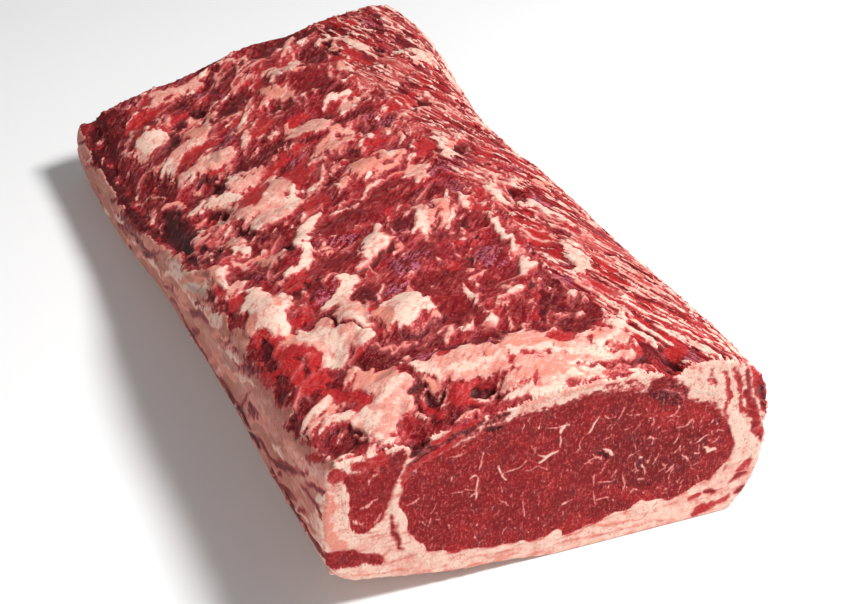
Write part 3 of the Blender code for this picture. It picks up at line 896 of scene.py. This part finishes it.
# chine side of the near third
maroon(14, (26, 52), (36, 62), (38, 82))
lean(6, (10, 60), (14, 76))
cream(2, (43, 73), (42, 78))
mottle(9, (54, 52), (58, 72), (58, 88))
red(4, (56, 56), (57, 80))
white(1.3, (46, 42), (48, 58))
cream(2.2, (33, 24), (45, 36), (56, 50), (66, 68), (70, 78))
maroon(7, (53, 14), (56, 26))
dark(3, (55, 4), (60, 12))
red(6, (64, 10), (64, 28))
lean(9, (10, 98), (22, 104))
salmon(2, (15, 92), (19, 88))
cream(2.5, (15, 81), (20, 86), (24, 91))
dark(1.8, (27, 88), (31, 95))
purple(8, (20, 118), (26, 133))
dark(1.4, (11, 118), (13, 131))
red(3, (2, 118), (4, 127))
white(3.4, (31, 101), (36, 109), (37, 119))
white(2.6, (38, 128), (39, 142), (42, 162))
red(4.5, (45, 111), (46, 140))
purple(4, (45, 88), (44, 99))
red(3.2, (52, 110), (54, 118))
cream(4.6, (56, 94), (62, 108), (61, 124))
maroon(5, (65, 131), (67, 150))
mottle(10, (78, 66), (76, 104), (78, 128))
salmon(3, (78, 130), (85, 129))
lean(3, (76, 112), (82, 106))

# second quarter, flank side
maroon(3, (-103, 140), (-104, 172), (-101, 190))
red(4, (-98, 148), (-92, 158))
red(3, (-100, 164), (-97, 176))
salmon(5, (-98, 178), (-95, 196))
pink(4, (-97, 160), (-86, 172))
white(2.2, (-95, 169), (-93, 180), (-89, 191))
red(3, (-88, 194), (-85, 202))
pink(3, (-84, 196), (-78, 184))
maroon(6, (-87, 180), (-78, 172), (-70, 163))
purple(2.5, (-80, 172), (-72, 165))
salmon(5, (-70, 194), (-69, 178))
pink(3.5, (-63, 195), (-63, 178))
shade(2, (-72, 182), (-68, 170))
dark(3.6, (-57, 183), (-56, 197))
maroon(6, (-74, 203), (-60, 208), (-50, 212))
cream(3.8, (-66, 162), (-56, 166), (-52, 178), (-48, 192), (-43, 203), (-37, 212), (-30, 217))
cream(1.6, (-41, 215), (-36, 223))
lean(9, (-43, 150), (-40, 168))
salmon(1.5, (-46, 170), (-41, 174))
pink(1.8, (-48, 178), (-38, 176))
cream(6.5, (-29, 150), (-23, 160), (-19, 171))
cream(2.6, (-18, 172), (-12, 187))
cream(3.2, (-38, 142), (-30, 148))
white(4, (-28, 153), (-18, 160))
dark(1.2, (-40, 140), (-30, 144), (-22, 151), (-12, 158))
lean(11, (-30, 193), (-10, 204))
purple(4, (-48, 183), (-34, 183), (-22, 182))
maroon(6, (-6, 166), (0, 186))
purple(3, (-12, 164), (-4, 172))
cream(1.5, (-25, 215), (-20, 211))
cream(1.4, (-17, 212), (-10, 214))
cream(1.8, (-7, 219), (-2, 226), (8, 233))
red(6, (-32, 224), (-24, 236))
maroon(4, (-20, 225), (-11, 234))
cream(1.6, (-15, 240), (-12, 236))
pink(12, (-60, 226), (-50, 234), (-46, 248))
cream(3.5, (-65, 217), (-62, 222))
cream(4, (-40, 230), (-37, 250))
dark(3, (-68, 217), (-69, 236))
pink(4.5, (-78, 212), (-77, 224))
cream(3.6, (-81, 208), (-73, 202))
dark(3.6, (-88, 210), (-86, 236))
pink(1, (-92, 204), (-91, 222))

# second quarter, chine side
pink(8, (8, 170), (16, 180), (25, 192))
cream(2.2, (4, 166), (10, 176), (14, 188))
maroon(1.5, (10, 166), (18, 180), (21, 192))
salmon(1.8, (20, 178), (25, 188))
lean(1.2, (26, 182), (32, 196))
cream(1.6, (28, 190), (32, 204))
pink(3, (12, 186), (13, 198))
dark(1.6, (18, 188), (19, 193))
lean(11, (4, 206), (13, 224))
maroon(6.5, (17, 204), (28, 211))
pink(6.5, (26, 222), (31, 242))
purple(9, (36, 228), (56, 228))
red(7, (44, 212), (52, 218))
purple(2.5, (38, 200), (44, 212))
red(8, (44, 176), (46, 192))
cream(2.2, (36, 180), (38, 197))
cream(2.8, (52, 176), (55, 190), (57, 201))
white(2, (44, 199), (46, 202))
cream(3, (60, 171), (66, 169), (69, 158), (72, 147), (73, 138))
red(2.5, (56, 160), (60, 164))
dark(2.8, (60, 183), (63, 189))
lean(6, (28, 154), (33, 166))
dark(1.6, (34, 156), (38, 160))
maroon(3, (24, 164), (29, 172))
red(7, (50, 128), (54, 152))
purple(3, (44, 120), (46, 132))
salmon(6, (74, 186), (83, 190))
pink(3, (62, 196), (71, 192))
cream(3, (83, 176), (90, 171))
purple(7, (70, 212), (78, 208))
red(6, (63, 226), (71, 238))
cream(3.4, (78, 222), (88, 228))
cream(3.6, (49, 236), (54, 249))
dark(2.4, (59, 243), (62, 248))
lean(4, (82, 160), (88, 166))

# third quarter, flank side
pink(11, (-60, 246), (-46, 256), (-36, 276))
red(6.5, (-57, 253), (-50, 264), (-44, 277))
maroon(2.6, (-56, 257), (-51, 268))
pink(3.4, (-69, 246), (-67, 262), (-61, 280))
pink(6, (-56, 284), (-40, 286))
cream(2.4, (-60, 285), (-57, 293))
pink(3, (-49, 296), (-38, 292))
cream(5.5, (-82, 275), (-66, 276), (-56, 271))
pink(4.5, (-79, 249), (-70, 258))
dark(2.6, (-74, 268), (-69, 264), (-68, 256))
maroon(4, (-84, 250), (-84, 262))
maroon(10, (-75, 295), (-67, 296))
dark(5, (-64, 284), (-61, 302))
dark(1.8, (-71, 309), (-60, 308))
pink(2, (-81, 305), (-83, 288))
salmon(3, (-89, 304), (-81, 303))
maroon(9.5, (-48, 304), (-30, 310), (-19, 312))
purple(2.5, (-48, 300), (-47, 310))
pink(9, (-8, 316), (8, 312))
pink(3, (-22, 325), (-5, 323))
maroon(2, (-11, 303), (0, 299))
red(2.4, (-13, 328), (2, 331))
red(8, (-26, 334), (-18, 350))
purple(3.8, (-43, 334), (-36, 352))
cream(2.2, (-36, 324), (-30, 341))
pink(8, (-74, 320), (-62, 318), (-46, 324))
pink(9, (-72, 338), (-56, 346))
red(6.5, (-66, 335), (-55, 340))
red(3.6, (-53, 343), (-47, 342))
pink(2.6, (-78, 334), (-70, 348), (-58, 352), (-46, 350))
cream(4, (-78, 328), (-74, 344))
shade(3.4, (-60, 322), (-51, 329))
shade(3.6, (-47, 330), (-44, 338))
red(1.8, (-62, 311), (-50, 315))
cream(2.6, (-74, 315), (-68, 318))
maroon(6, (-85, 309), (-83, 328), (-89, 346))
pink(1, (-97, 336), (-91, 321), (-87, 312))
dark(4.5, (-92, 246), (-90, 276), (-89, 300))
lean(3, (-101, 298), (-100, 320))
pink(1.8, (-97, 298), (-95, 313))
maroon(4, (-101, 274), (-98, 291))
red(7, (-26, 262), (-21, 276), (-17, 286))
purple(3, (-21, 287), (-13, 290))
maroon(3, (-28, 284), (-22, 285))
salmon(7, (-3, 288), (3, 280))
cream(1.5, (-9, 269), (-7, 272))
maroon(4, (0, 270), (7, 263))
dark(1.6, (7, 266), (9, 263))
maroon(5, (-16, 244), (-8, 256))
cream(1.8, (-37, 248), (-35, 252))

# third quarter, chine side
salmon(11, (4, 246), (14, 252), (24, 256))
cream(3, (25, 263), (24, 254))
red(3, (12, 262), (15, 254))
maroon(1.2, (15, 246), (26, 251))
cream(2.4, (12, 273), (17, 280))
red(2.2, (19, 277), (25, 274))
cream(2.6, (21, 287), (27, 282))
dark(2, (7, 277), (10, 269))
pink(8, (6, 286), (12, 298))
maroon(2, (7, 296), (12, 291))
maroon(5, (23, 290), (28, 302))
purple(4.4, (35, 290), (39, 301))
maroon(5, (10, 309), (22, 313), (33, 315))
purple(2.6, (24, 308), (35, 305))
pink(4, (24, 321), (28, 334))
pink(4, (38, 322), (33, 336))
red(2, (17, 322), (19, 326))
dark(1.8, (35, 327), (38, 333))
cream(2.8, (18, 338), (31, 340))
maroon(4.4, (22, 346), (33, 349))
red(5.5, (41, 252), (46, 264))
white(2, (50, 249), (53, 263))
cream(2, (55, 254), (57, 266))
pink(3, (60, 263), (67, 259))
mottle(12, (46, 282), (60, 288), (70, 292))
red(8, (46, 308), (58, 320))
pink(4.4, (58, 303), (62, 302))
dark(1.4, (53, 308), (60, 311), (65, 307))
maroon(4, (72, 284), (76, 272))
red(5, (66, 322), (74, 332))
mottle(12, (44, 342), (60, 350), (62, 364))
maroon(2, (56, 322), (58, 325))
dark(3, (82, 304), (86, 298))
pink(3, (80, 294), (90, 290))
cream(4.4, (83, 264), (90, 256))
red(4, (84, 270), (92, 276))
maroon(4, (84, 318), (90, 323))

# far quarter, flank side
maroon(8, (-96, 396), (-87, 420), (-92, 438))
cream(8, (-83, 366), (-77, 378), (-69, 374))
pink(2.6, (-91, 384), (-85, 370), (-82, 358))
red(9, (-74, 390), (-72, 406), (-66, 412))
pink(1.7, (-85, 388), (-80, 405))
cream(1.5, (-77, 384), (-74, 394))
pink(1.4, (-69, 384), (-66, 402))
pink(1.4, (-64, 384), (-60, 399))
salmon(9, (-55, 358), (-50, 378))
cream(2, (-46, 360), (-43, 380))
dark(4.2, (-66, 359), (-61, 376), (-53, 391))
dark(5.5, (-44, 394), (-40, 398))
maroon(6.5, (-50, 404), (-43, 415))
salmon(1.2, (-38, 371), (-36, 393))
maroon(9, (-28, 374), (-22, 388))
salmon(2, (-36, 367), (-25, 363))
pink(1.6, (-26, 365), (-24, 368))
red(4, (-10, 394), (-5, 385))
salmon(4, (-10, 378), (-3, 366), (4, 356))
pink(3, (-12, 401), (5, 399))
cream(3, (3, 396), (6, 382))
pink(4.5, (-60, 431), (-46, 426), (-32, 424))
pink(3, (-62, 419), (-55, 427))
purple(2.2, (-38, 418), (-32, 408))
purple(3, (-76, 433), (-68, 425))
maroon(7, (-28, 408), (-20, 434))
pink(1.7, (-25, 410), (-22, 426))
pink(1.5, (-11, 413), (-9, 423))
pink(2, (-16, 437), (-5, 430), (1, 414))
maroon(6, (-6, 354), (0, 350))

# far quarter, chine side
lean(14, (10, 370), (22, 360))
maroon(5, (18, 352), (30, 352))
salmon(3, (38, 370), (40, 382))
pink(6, (8, 389), (18, 393))
cream(2.5, (4, 384), (6, 396))
cream(2, (17, 402), (18, 388))
maroon(8, (28, 392), (33, 412))
purple(4, (27, 394), (30, 406))
dark(2.5, (42, 396), (43, 414))
maroon(8, (4, 420), (14, 434), (40, 432))
pink(2.4, (14, 411), (22, 421), (28, 433))
cream(1.5, (20, 402), (24, 424))
maroon(6, (50, 427), (54, 416))
cream(3.6, (52, 410), (56, 396), (57, 382))
pink(1.6, (45, 413), (43, 400))
red(3.4, (46, 378), (50, 388))
dark(2.6, (62, 375), (64, 386))
red(3, (62, 391), (60, 398))
red(4, (60, 426), (64, 418))
maroon(8, (72, 404), (78, 424))
purple(3, (68, 430), (74, 412))
cream(7.5, (73, 370), (78, 362), (86, 356), (95, 352))
maroon(8, (82, 379), (88, 394))
maroon(3, (92, 393), (101, 398))
pink(5, (82, 406), (90, 424))
maroon(5, (86, 433), (94, 436))

# the lip of the fat cap along the flank edge, and the groove behind it, dark lean with painted shade
tan(5, (-110, 100), (-108, 160), (-107, 240), (-110, 272))
dark(3.4, (-97, 208), (-96, 250), (-98, 290))
dark(4.4, (-103, 290), (-104, 345), (-103, 395), (-98, 428))
marks["top"] += slanted(3, 300, (-104, 0), (46, 440), RIB_WAY, 22, SCRAPS, 11, 0.9)
marks["top"] += slanted(10, 150, (-96, 50), (50, 436), RIB_WAY, 30, ("thread",), 24, 0.75)
marks["top"] += shoulder_over

# the clearest lines and patches, which nothing crosses
pink(3.4, (-40, 38), (-24, 43), (-2, 40))
cream(2.6, (-30, 35), (-10, 34), (8, 30))
salmon(1.8, (-22, 40), (-4, 38), (12, 33))
pink(3, (-12, 24), (8, 20), (24, 16))
cream(2.2, (6, 28), (20, 23), (32, 26))
salmon(1.4, (-16, 17), (2, 13), (18, 8))
cream(1.8, (34, 24), (44, 36), (54, 52))
pink(1.2, (38, 20), (49, 34), (60, 54))
white(1.3, (50, 42), (54, 31), (56, 21))
maroon(1.3, (53, 43), (57, 32), (60, 21))
white(1.3, (56, 44), (60, 32), (63, 21))
cream(3.4, (55, 92), (60, 103), (59, 118))
red(1.8, (66, 108), (72, 90))
lean(1.4, (74, 70), (82, 44), (88, 20))
red(1.4, (66, 70), (74, 44), (82, 18))
red(1.6, (76, 150), (84, 120), (92, 88))
lean(1.6, (70, 190), (80, 156), (90, 124))
red(1.8, (72, 240), (82, 210), (92, 180))
cream(2, (2, 168), (8, 178), (11, 188))
salmon(1.6, (12, 172), (19, 184), (25, 194))
cream(1.5, (16, 166), (24, 176), (29, 186))

# calm patches of muscle and fat in the far half
maroon(6.5, (27, 392), (33, 410))
pink(3, (7, 388), (18, 392))
lean(8, (8, 368), (22, 360))
maroon(6, (-28, 374), (-22, 387))
maroon(4.6, (-49, 405), (-43, 414))
dark(3.4, (-44, 394), (-40, 398))
salmon(6, (-54, 360), (-50, 376))
lean(3, (-71, 392), (-70, 408))
maroon(6.5, (-46, 305), (-30, 310), (-20, 312))
pink(6, (-6, 316), (8, 312))
red(5.6, (-68, 337), (-58, 340), (-50, 343))
maroon(3.6, (10, 309), (22, 313), (32, 315))
red(5.2, (-58, 255), (-52, 264), (-46, 276))
red(4.5, (-24, 264), (-20, 276))
lean(7, (-26, 194), (-10, 203))
lean(6, (-4, 72), (-8, 92), (-10, 112))

# the red chunk by the flank, with its fine lines, and the oval muscle with its white rim
red(8, (-92, 62), (-90, 78), (-90, 94))
maroon(2.2, (-101, 60), (-99, 80), (-97, 98))
maroon(1.2, (-92, 66), (-88, 86))
thread(0.5, (-97, 70), (-90, 78), (-84, 82))
thread(0.4, (-98, 60), (-91, 67), (-85, 72))
maroon(6.5, (-95, 11), (-91, 14))
cream(1.5, (-104, 14), (-102, 4), (-95, 0))
white(1.3, (-82, 16), (-83, 7))

rib_cover = carve("rib_cover", "rib-cover")
rib_cover.data.materials.append(meat_material("rib side", top_fibres))
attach(rib_cover, "root")
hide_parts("rib_cover")

# ---------------------------------------------------------------------------------------------------
# Scraps, streaks and marbling. Thin films and threads of fat and lean that cross the seams from piece
# to piece, so they are laid on when all the pieces are there. Fat stands a little proud of the lean.
# ---------------------------------------------------------------------------------------------------
TONES = ("cream", "salmon", "deep", "bright", "purple", "shade", "keen")
# which two coordinates lay each side flat, and which way its meat tears, in degrees
PLANS = {"top": (0, 1), "near": (0, 2), "far": (0, 2), "flank": (1, 2), "chine": (1, 2),
         "under": (0, 1)}
TEAR_WAY = {"near": 60, "far": 60, "flank": -28, "chine": 4, "under": 60}
KNIFE_TEAR = 0.15      # the knife leaves this much of the ragged edges on the two cuts
DEEPEST = 6.0          # how far from an edge the fat field still tells
TAPER = 0.45           # a stroke's ends are narrower by this share
SKIN_DEPTH = 2.0       # the relief dies out below the skin over this depth
LIP = 0.5              # fat stands this far above the lean beside it
ROW = 10.0             # the flank's outer edge is found row by row, this far apart
FLANK_EDGE = 10        # the flank reaches this far in from it
TURNED_FLANK = -0.62   # how far the skin has turned outward where the flank begins
TURNED_CHINE = 0.72    # and the chine side
TURNED_UNDER = -0.75   # and how far down where the underside does,
UNDER_TOP = 25         # no higher than this
TURNED_CUT = 0.6       # and how far to an end at the rims of the cuts


def rumple(places, size, seed=0):
    """Smooth random numbers from -1 to 1 with bumps of this size, the same ones for the same seed."""
    cell = np.floor(places / size + 31.7 * seed).astype(np.int64)
    part = ramp(places / size + 31.7 * seed - cell, 0, 1)
    total = np.zeros(len(places))
    for corner in itertools.product((0, 1), repeat=places.shape[1]):
        key = np.zeros(len(places), np.int64)
        share = np.ones(len(places))
        for axis, step in enumerate(corner):
            key = key * 92837111 + (cell[:, axis] + step) * 689287499 + seed
            share *= part[:, axis] if step else 1 - part[:, axis]
        key = (key ^ (key >> 15)) * 2246822519 & 0xFFFFFFFF
        key = (key ^ (key >> 13)) * 3266489917 & 0xFFFFFFFF
        total += share * (((key ^ (key >> 16)) & 0xFFFF) / 32767.5 - 1)
    return total


def curve_through(points, steps=5, closed=False):
    """Places along a smooth curve through these points."""
    points = np.array(points, float)
    last = len(points) - 1
    if last < 2:
        return points
    curve = []
    for i in range(last + 1 if closed else last):
        around = [(i + k) % (last + 1) if closed else min(max(i + k, 0), last) for k in (-1, 0, 1, 2)]
        a, b, c, d = points[around]
        for t in np.arange(steps) / steps:
            bend = 2 * a - 5 * b + 4 * c - d + t * (3 * (b - c) + d - a)
            curve.append(b + 0.5 * t * (c - a + t * bend))
    if not closed:
        curve.append(points[-1])
    return np.array(curve)


def off_line(places, a, b):
    """How far along the line from a to b each place lies, from 0 to 1, and how far off it."""
    line = b - a
    along = np.clip(((places - a) @ line) / max(line @ line, 1e-9), 0, 1)
    return along, np.linalg.norm(places - a - along[:, None] * line, axis=1)


def depth_in_stroke(places, half_width, points):
    """How deep each place lies inside a stroke; negative outside it."""
    line = curve_through(points)
    spans = len(line) - 1
    best = np.full(len(places), -1e9)
    for i in range(spans):
        along, gap = off_line(places, line[i], line[i + 1])
        from_middle = np.abs(2 * (i + along) / spans - 1)
        best = np.maximum(best, half_width * (1 - TAPER * from_middle ** 3) - gap)
    return best


def painted(places, strokes, base, seed, way, torn):
    """The fields that the strokes leave at these places of one side: the later stroke lies on top."""
    count = len(places)
    field = {name: base.get(name, 0.0) + np.zeros(count) for name in (*TONES, "fat", "rise")}
    # the edges drift with soft bumps, and tear in thin tongues along the fibres
    drift = [rumple(places, 8.0, seed + axis) * 1.5 + rumple(places, 3.0, seed + 5 + axis) * 0.7
             for axis in (0, 1)]
    way = np.radians(way)
    along = np.stack([np.cos(way), np.sin(way)], -1) * np.ones((count, 1))
    aside = np.stack([-along[:, 1], along[:, 0]], 1)
    drawn = np.stack([np.sum(places * along, 1) / 7, np.sum(places * aside, 1)], 1)
    tear = rumple(drawn, 2.0, seed + 11) * 2.6 + rumple(drawn, 4.6, seed + 12) * 3.2
    moved = places + np.stack(drift, 1) + along * (tear * torn)[:, None]
    for kind, half_width, *points in strokes:
        low = np.min(points, axis=0) - half_width - DEEPEST
        high = np.max(points, axis=0) + half_width + DEEPEST
        close = np.nonzero(np.all((moved > low) & (moved < high), axis=1))[0]
        if not len(close):
            continue
        depth = depth_in_stroke(moved[close], half_width, points)
        left = KINDS[kind]
        soft = min(0.9, 0.5 * half_width + 0.1)
        cover = ramp(depth, -soft, soft)
        fat = field["fat"][close]
        if left.get("fat", 0) > 0:
            fat = np.maximum(fat, np.minimum(depth, DEEPEST))
        elif left.get("fat", 0) < 0:
            fat = np.minimum(fat, -np.minimum(depth, DEEPEST))
        elif "fat" in left:
            fat = fat * (1 - cover)
        field["fat"][close] = fat
        for name in TONES:
            if name in left:
                share = ramp(depth, -2.5, -1.0) if name == "keen" else cover
                field[name][close] += (left[name] - field[name][close]) * share
        field["rise"][close] += (left.get("rise", 0.0) - field["rise"][close]) * cover
    return field


def inside_outline(places, outline):
    """Signed distance into a closed curve."""
    ring = curve_through(outline, 4, closed=True)
    best = np.full(len(places), 1e9)
    crossings = np.zeros(len(places), int)
    for a, b in zip(ring, np.roll(ring, -1, axis=0)):
        best = np.minimum(best, off_line(places, a, b)[1])
        if a[1] != b[1]:
            over = (a[1] > places[:, 1]) != (b[1] > places[:, 1])
            cross_x = a[0] + (places[:, 1] - a[1]) * (b[0] - a[0]) / (b[1] - a[1])
            crossings += over & (places[:, 0] < cross_x)
    return np.where(crossings % 2 == 1, best, -best)


def muscles_at(places):
    """How deep a place on an end face lies in the muscles; negative in the fat between them."""
    uneven = places.copy()
    for size, seed, reach in ((7.0, 3, 1.1), (2.6, 5, 0.5)):
        uneven += np.stack([rumple(places, size, seed), rumple(places, size, seed + 1)], 1) * reach
    return np.max([inside_outline(uneven, outline) for outline in (EYE, SIDE, CHINE, STRIP)], axis=0)


def outermost_by_row():
    """The x of the flank's outer edge in each row along the loin."""
    places = in_mm(read_points(skin.data))
    edge = np.zeros(int(LENGTH // ROW) + 2)
    np.minimum.at(edge, (places[:, 1] // ROW).astype(int), places[:, 0])
    return edge


def sides_of(place, facing):
    """Which side of the loin each place shows on."""
    side_of = np.full(len(place), "top", dtype=object)
    turned = facing[:, 0] + 0.3 * rumple(place, 9.0, 8) + 0.15 * rumple(place, 3.0, 9)
    row = np.clip(place[:, 1] // ROW, 0, len(flank_edge) - 1).astype(int)
    side_of[(turned < TURNED_FLANK) & (place[:, 0] < flank_edge[row] + FLANK_EDGE)] = "flank"
    side_of[(turned > TURNED_CHINE) & (place[:, 0] > 0)] = "chine"
    side_of[(facing[:, 2] < TURNED_UNDER) & (place[:, 2] < UNDER_TOP)] = "under"
    side_of[(facing[:, 1] > TURNED_CUT) & (place[:, 1] > LENGTH / 2)] = "far"
    side_of[(facing[:, 1] < -TURNED_CUT) & (place[:, 1] < LENGTH / 2)] = "near"
    return side_of


def fields_on(name, flat, fan_from, seed):
    """The fields on one side, from its flat places."""
    base = dict(BASE[name])
    way, torn = TEAR_WAY.get(name), 1.0
    if name == "top":
        # fattier on the shoulder, in soft patches and towards the far end
        shoulder = ramp(flat[:, 0] - fan_from, -6, 14)
        far_half = ramp(flat[:, 1], 200, 260)
        base["fat"] += 0.4 * shoulder + 1.6 * rumple(flat, 24.0, 7) + 0.6 * far_half
        base["cream"] += 0.3 * shoulder
        base["salmon"] += 0.2 * far_half
        way = np.where(flat[:, 0] > fan_from, FAN_WAY, RIB_WAY)
    if name in ("near", "far"):
        base["fat"] = np.clip(-muscles_at(flat), -DEEPEST, DEEPEST)
        torn = KNIFE_TEAR
    return painted(flat, marks[name], base, 20 * seed, way, torn)


def dress(piece):
    """Lay the marks on a piece, as point attributes for its material and as low relief."""
    mesh = piece.data
    points = read_points(mesh)
    place = in_mm(points)
    hits = [skin_tree.find_nearest(Vector(point)) for point in points]
    facing = np.array([hit[1] for hit in hits])
    depth = np.array([hit[3] for hit in hits]) / MM
    side_of = sides_of(place, facing)
    fan_from = FAN_FROM + 7.0 * rumple(place[:, :2], 26.0, 12)
    field = {name: np.zeros(len(points)) for name in (*TONES, "fat", "rise")}
    for seed, (name, axes) in enumerate(PLANS.items()):
        chosen = np.nonzero(side_of == name)[0]
        if len(chosen):
            got = fields_on(name, place[chosen][:, axes], fan_from[chosen], seed)
            for key in field:
                field[key][chosen] = got[key]
    field["fan"] = ramp(place[:, 0] - fan_from, -4, 4) * np.isin(side_of, ("top", "chine"))
    for name in (*TONES, "fat", "fan"):
        values = field[name] if name == "fat" else np.clip(field[name], 0, 1)
        attribute = mesh.attributes.new(name, "FLOAT", "POINT")
        attribute.data.foreach_set("value", values.astype(np.float32))
    # the top is lumpy, the walls less so, the near cut almost flat and the underside quite flat
    lumps = rumple(place, 14.0, 1) * 0.5 + rumple(place, 5.0, 2) * 0.3 + rumple(place, 2.2, 3) * 0.12
    lumpy = np.select([side_of == "top", side_of == "near"], [1.0, 0.25], 0.45)
    sides = [side_of == name for name in ("near", "flank", "under")]
    relief = np.select(sides, [0.3, 0.5, 0.0], 1.0)
    height = field["rise"] + LIP * ramp(field["fat"], -1.0, 1.0) + lumps * lumpy
    height *= relief * np.exp(-(depth / SKIN_DEPTH) ** 2)
    moved = points + facing * height[:, None] * MM
    moved[:, 2] = np.maximum(moved[:, 2], 0)
    write_points(mesh, moved)


flank_edge = outermost_by_row()
for piece in (fat_cap, lean_strip, eye_muscle, side_muscle, chine_strap, rib_cover):
    dress(piece)
bpy.data.objects.remove(skin)

# ---------------------------------------------------------------------------------------------------
# The table, the light and the camera. A plain pale table under one large soft lamp from the chine
# side, with a weak fill in front, seen from the near cut and a little above.
# ---------------------------------------------------------------------------------------------------
bpy.ops.mesh.primitive_plane_add(size=12)
floor = bpy.context.object
floor.name = "floor"
pale = bpy.data.materials.new("pale table")
pale.use_nodes = True
pale_shader = pale.node_tree.nodes["Principled BSDF"]
pale_shader.inputs["Base Color"].default_value = (0.9, 0.9, 0.9, 1)
pale_shader.inputs["Roughness"].default_value = 0.6
floor.data.materials.append(pale)


def softbox(name, place, size, watts):
    """A square soft lamp that looks at the middle of the loin."""
    light = bpy.data.lights.new(name, "AREA")
    light.size = size
    light.energy = watts
    lamp = new_object(name, light)
    lamp.location = place
    aim = Vector((0, 0, 0.04)) - Vector(place)
    lamp.rotation_euler = aim.to_track_quat("-Z", "Y").to_euler()


softbox("key", (0.75, -0.5, 1.25), 0.4, 30.5)
softbox("fill", (-0.95, -1.2, 0.6), 1.0, 6)
world = bpy.data.worlds.new("studio")
world.use_nodes = True
backdrop = world.node_tree.nodes["Background"]
backdrop.inputs["Color"].default_value = (1, 1, 1, 1)
backdrop.inputs["Strength"].default_value = 0.22
bpy.context.scene.world = world
bpy.context.scene.view_settings.view_transform = "Standard"

AZIMUTH = math.radians(-22.47)
ELEVATION = math.radians(31)
ROLL = math.radians(0.14)
DISTANCE = 1.025
AIM = Vector((0.0082, -0.0566, 0.038))
level = Vector((math.sin(AZIMUTH), -math.cos(AZIMUTH), 0))
back = level * math.cos(ELEVATION) + Vector((0, 0, math.sin(ELEVATION)))
right = Vector((math.cos(AZIMUTH), math.sin(AZIMUTH), 0))
up = back.cross(right)
across = right * math.cos(ROLL) + up * math.sin(ROLL)
upright = up * math.cos(ROLL) - right * math.sin(ROLL)
turn = Matrix((across, upright, back)).transposed().to_4x4()
camera = new_object("camera", bpy.data.cameras.new("camera"))
camera.data.lens = 85
camera.matrix_world = Matrix.Translation(AIM + back * DISTANCE) @ turn
bpy.context.scene.camera = camera
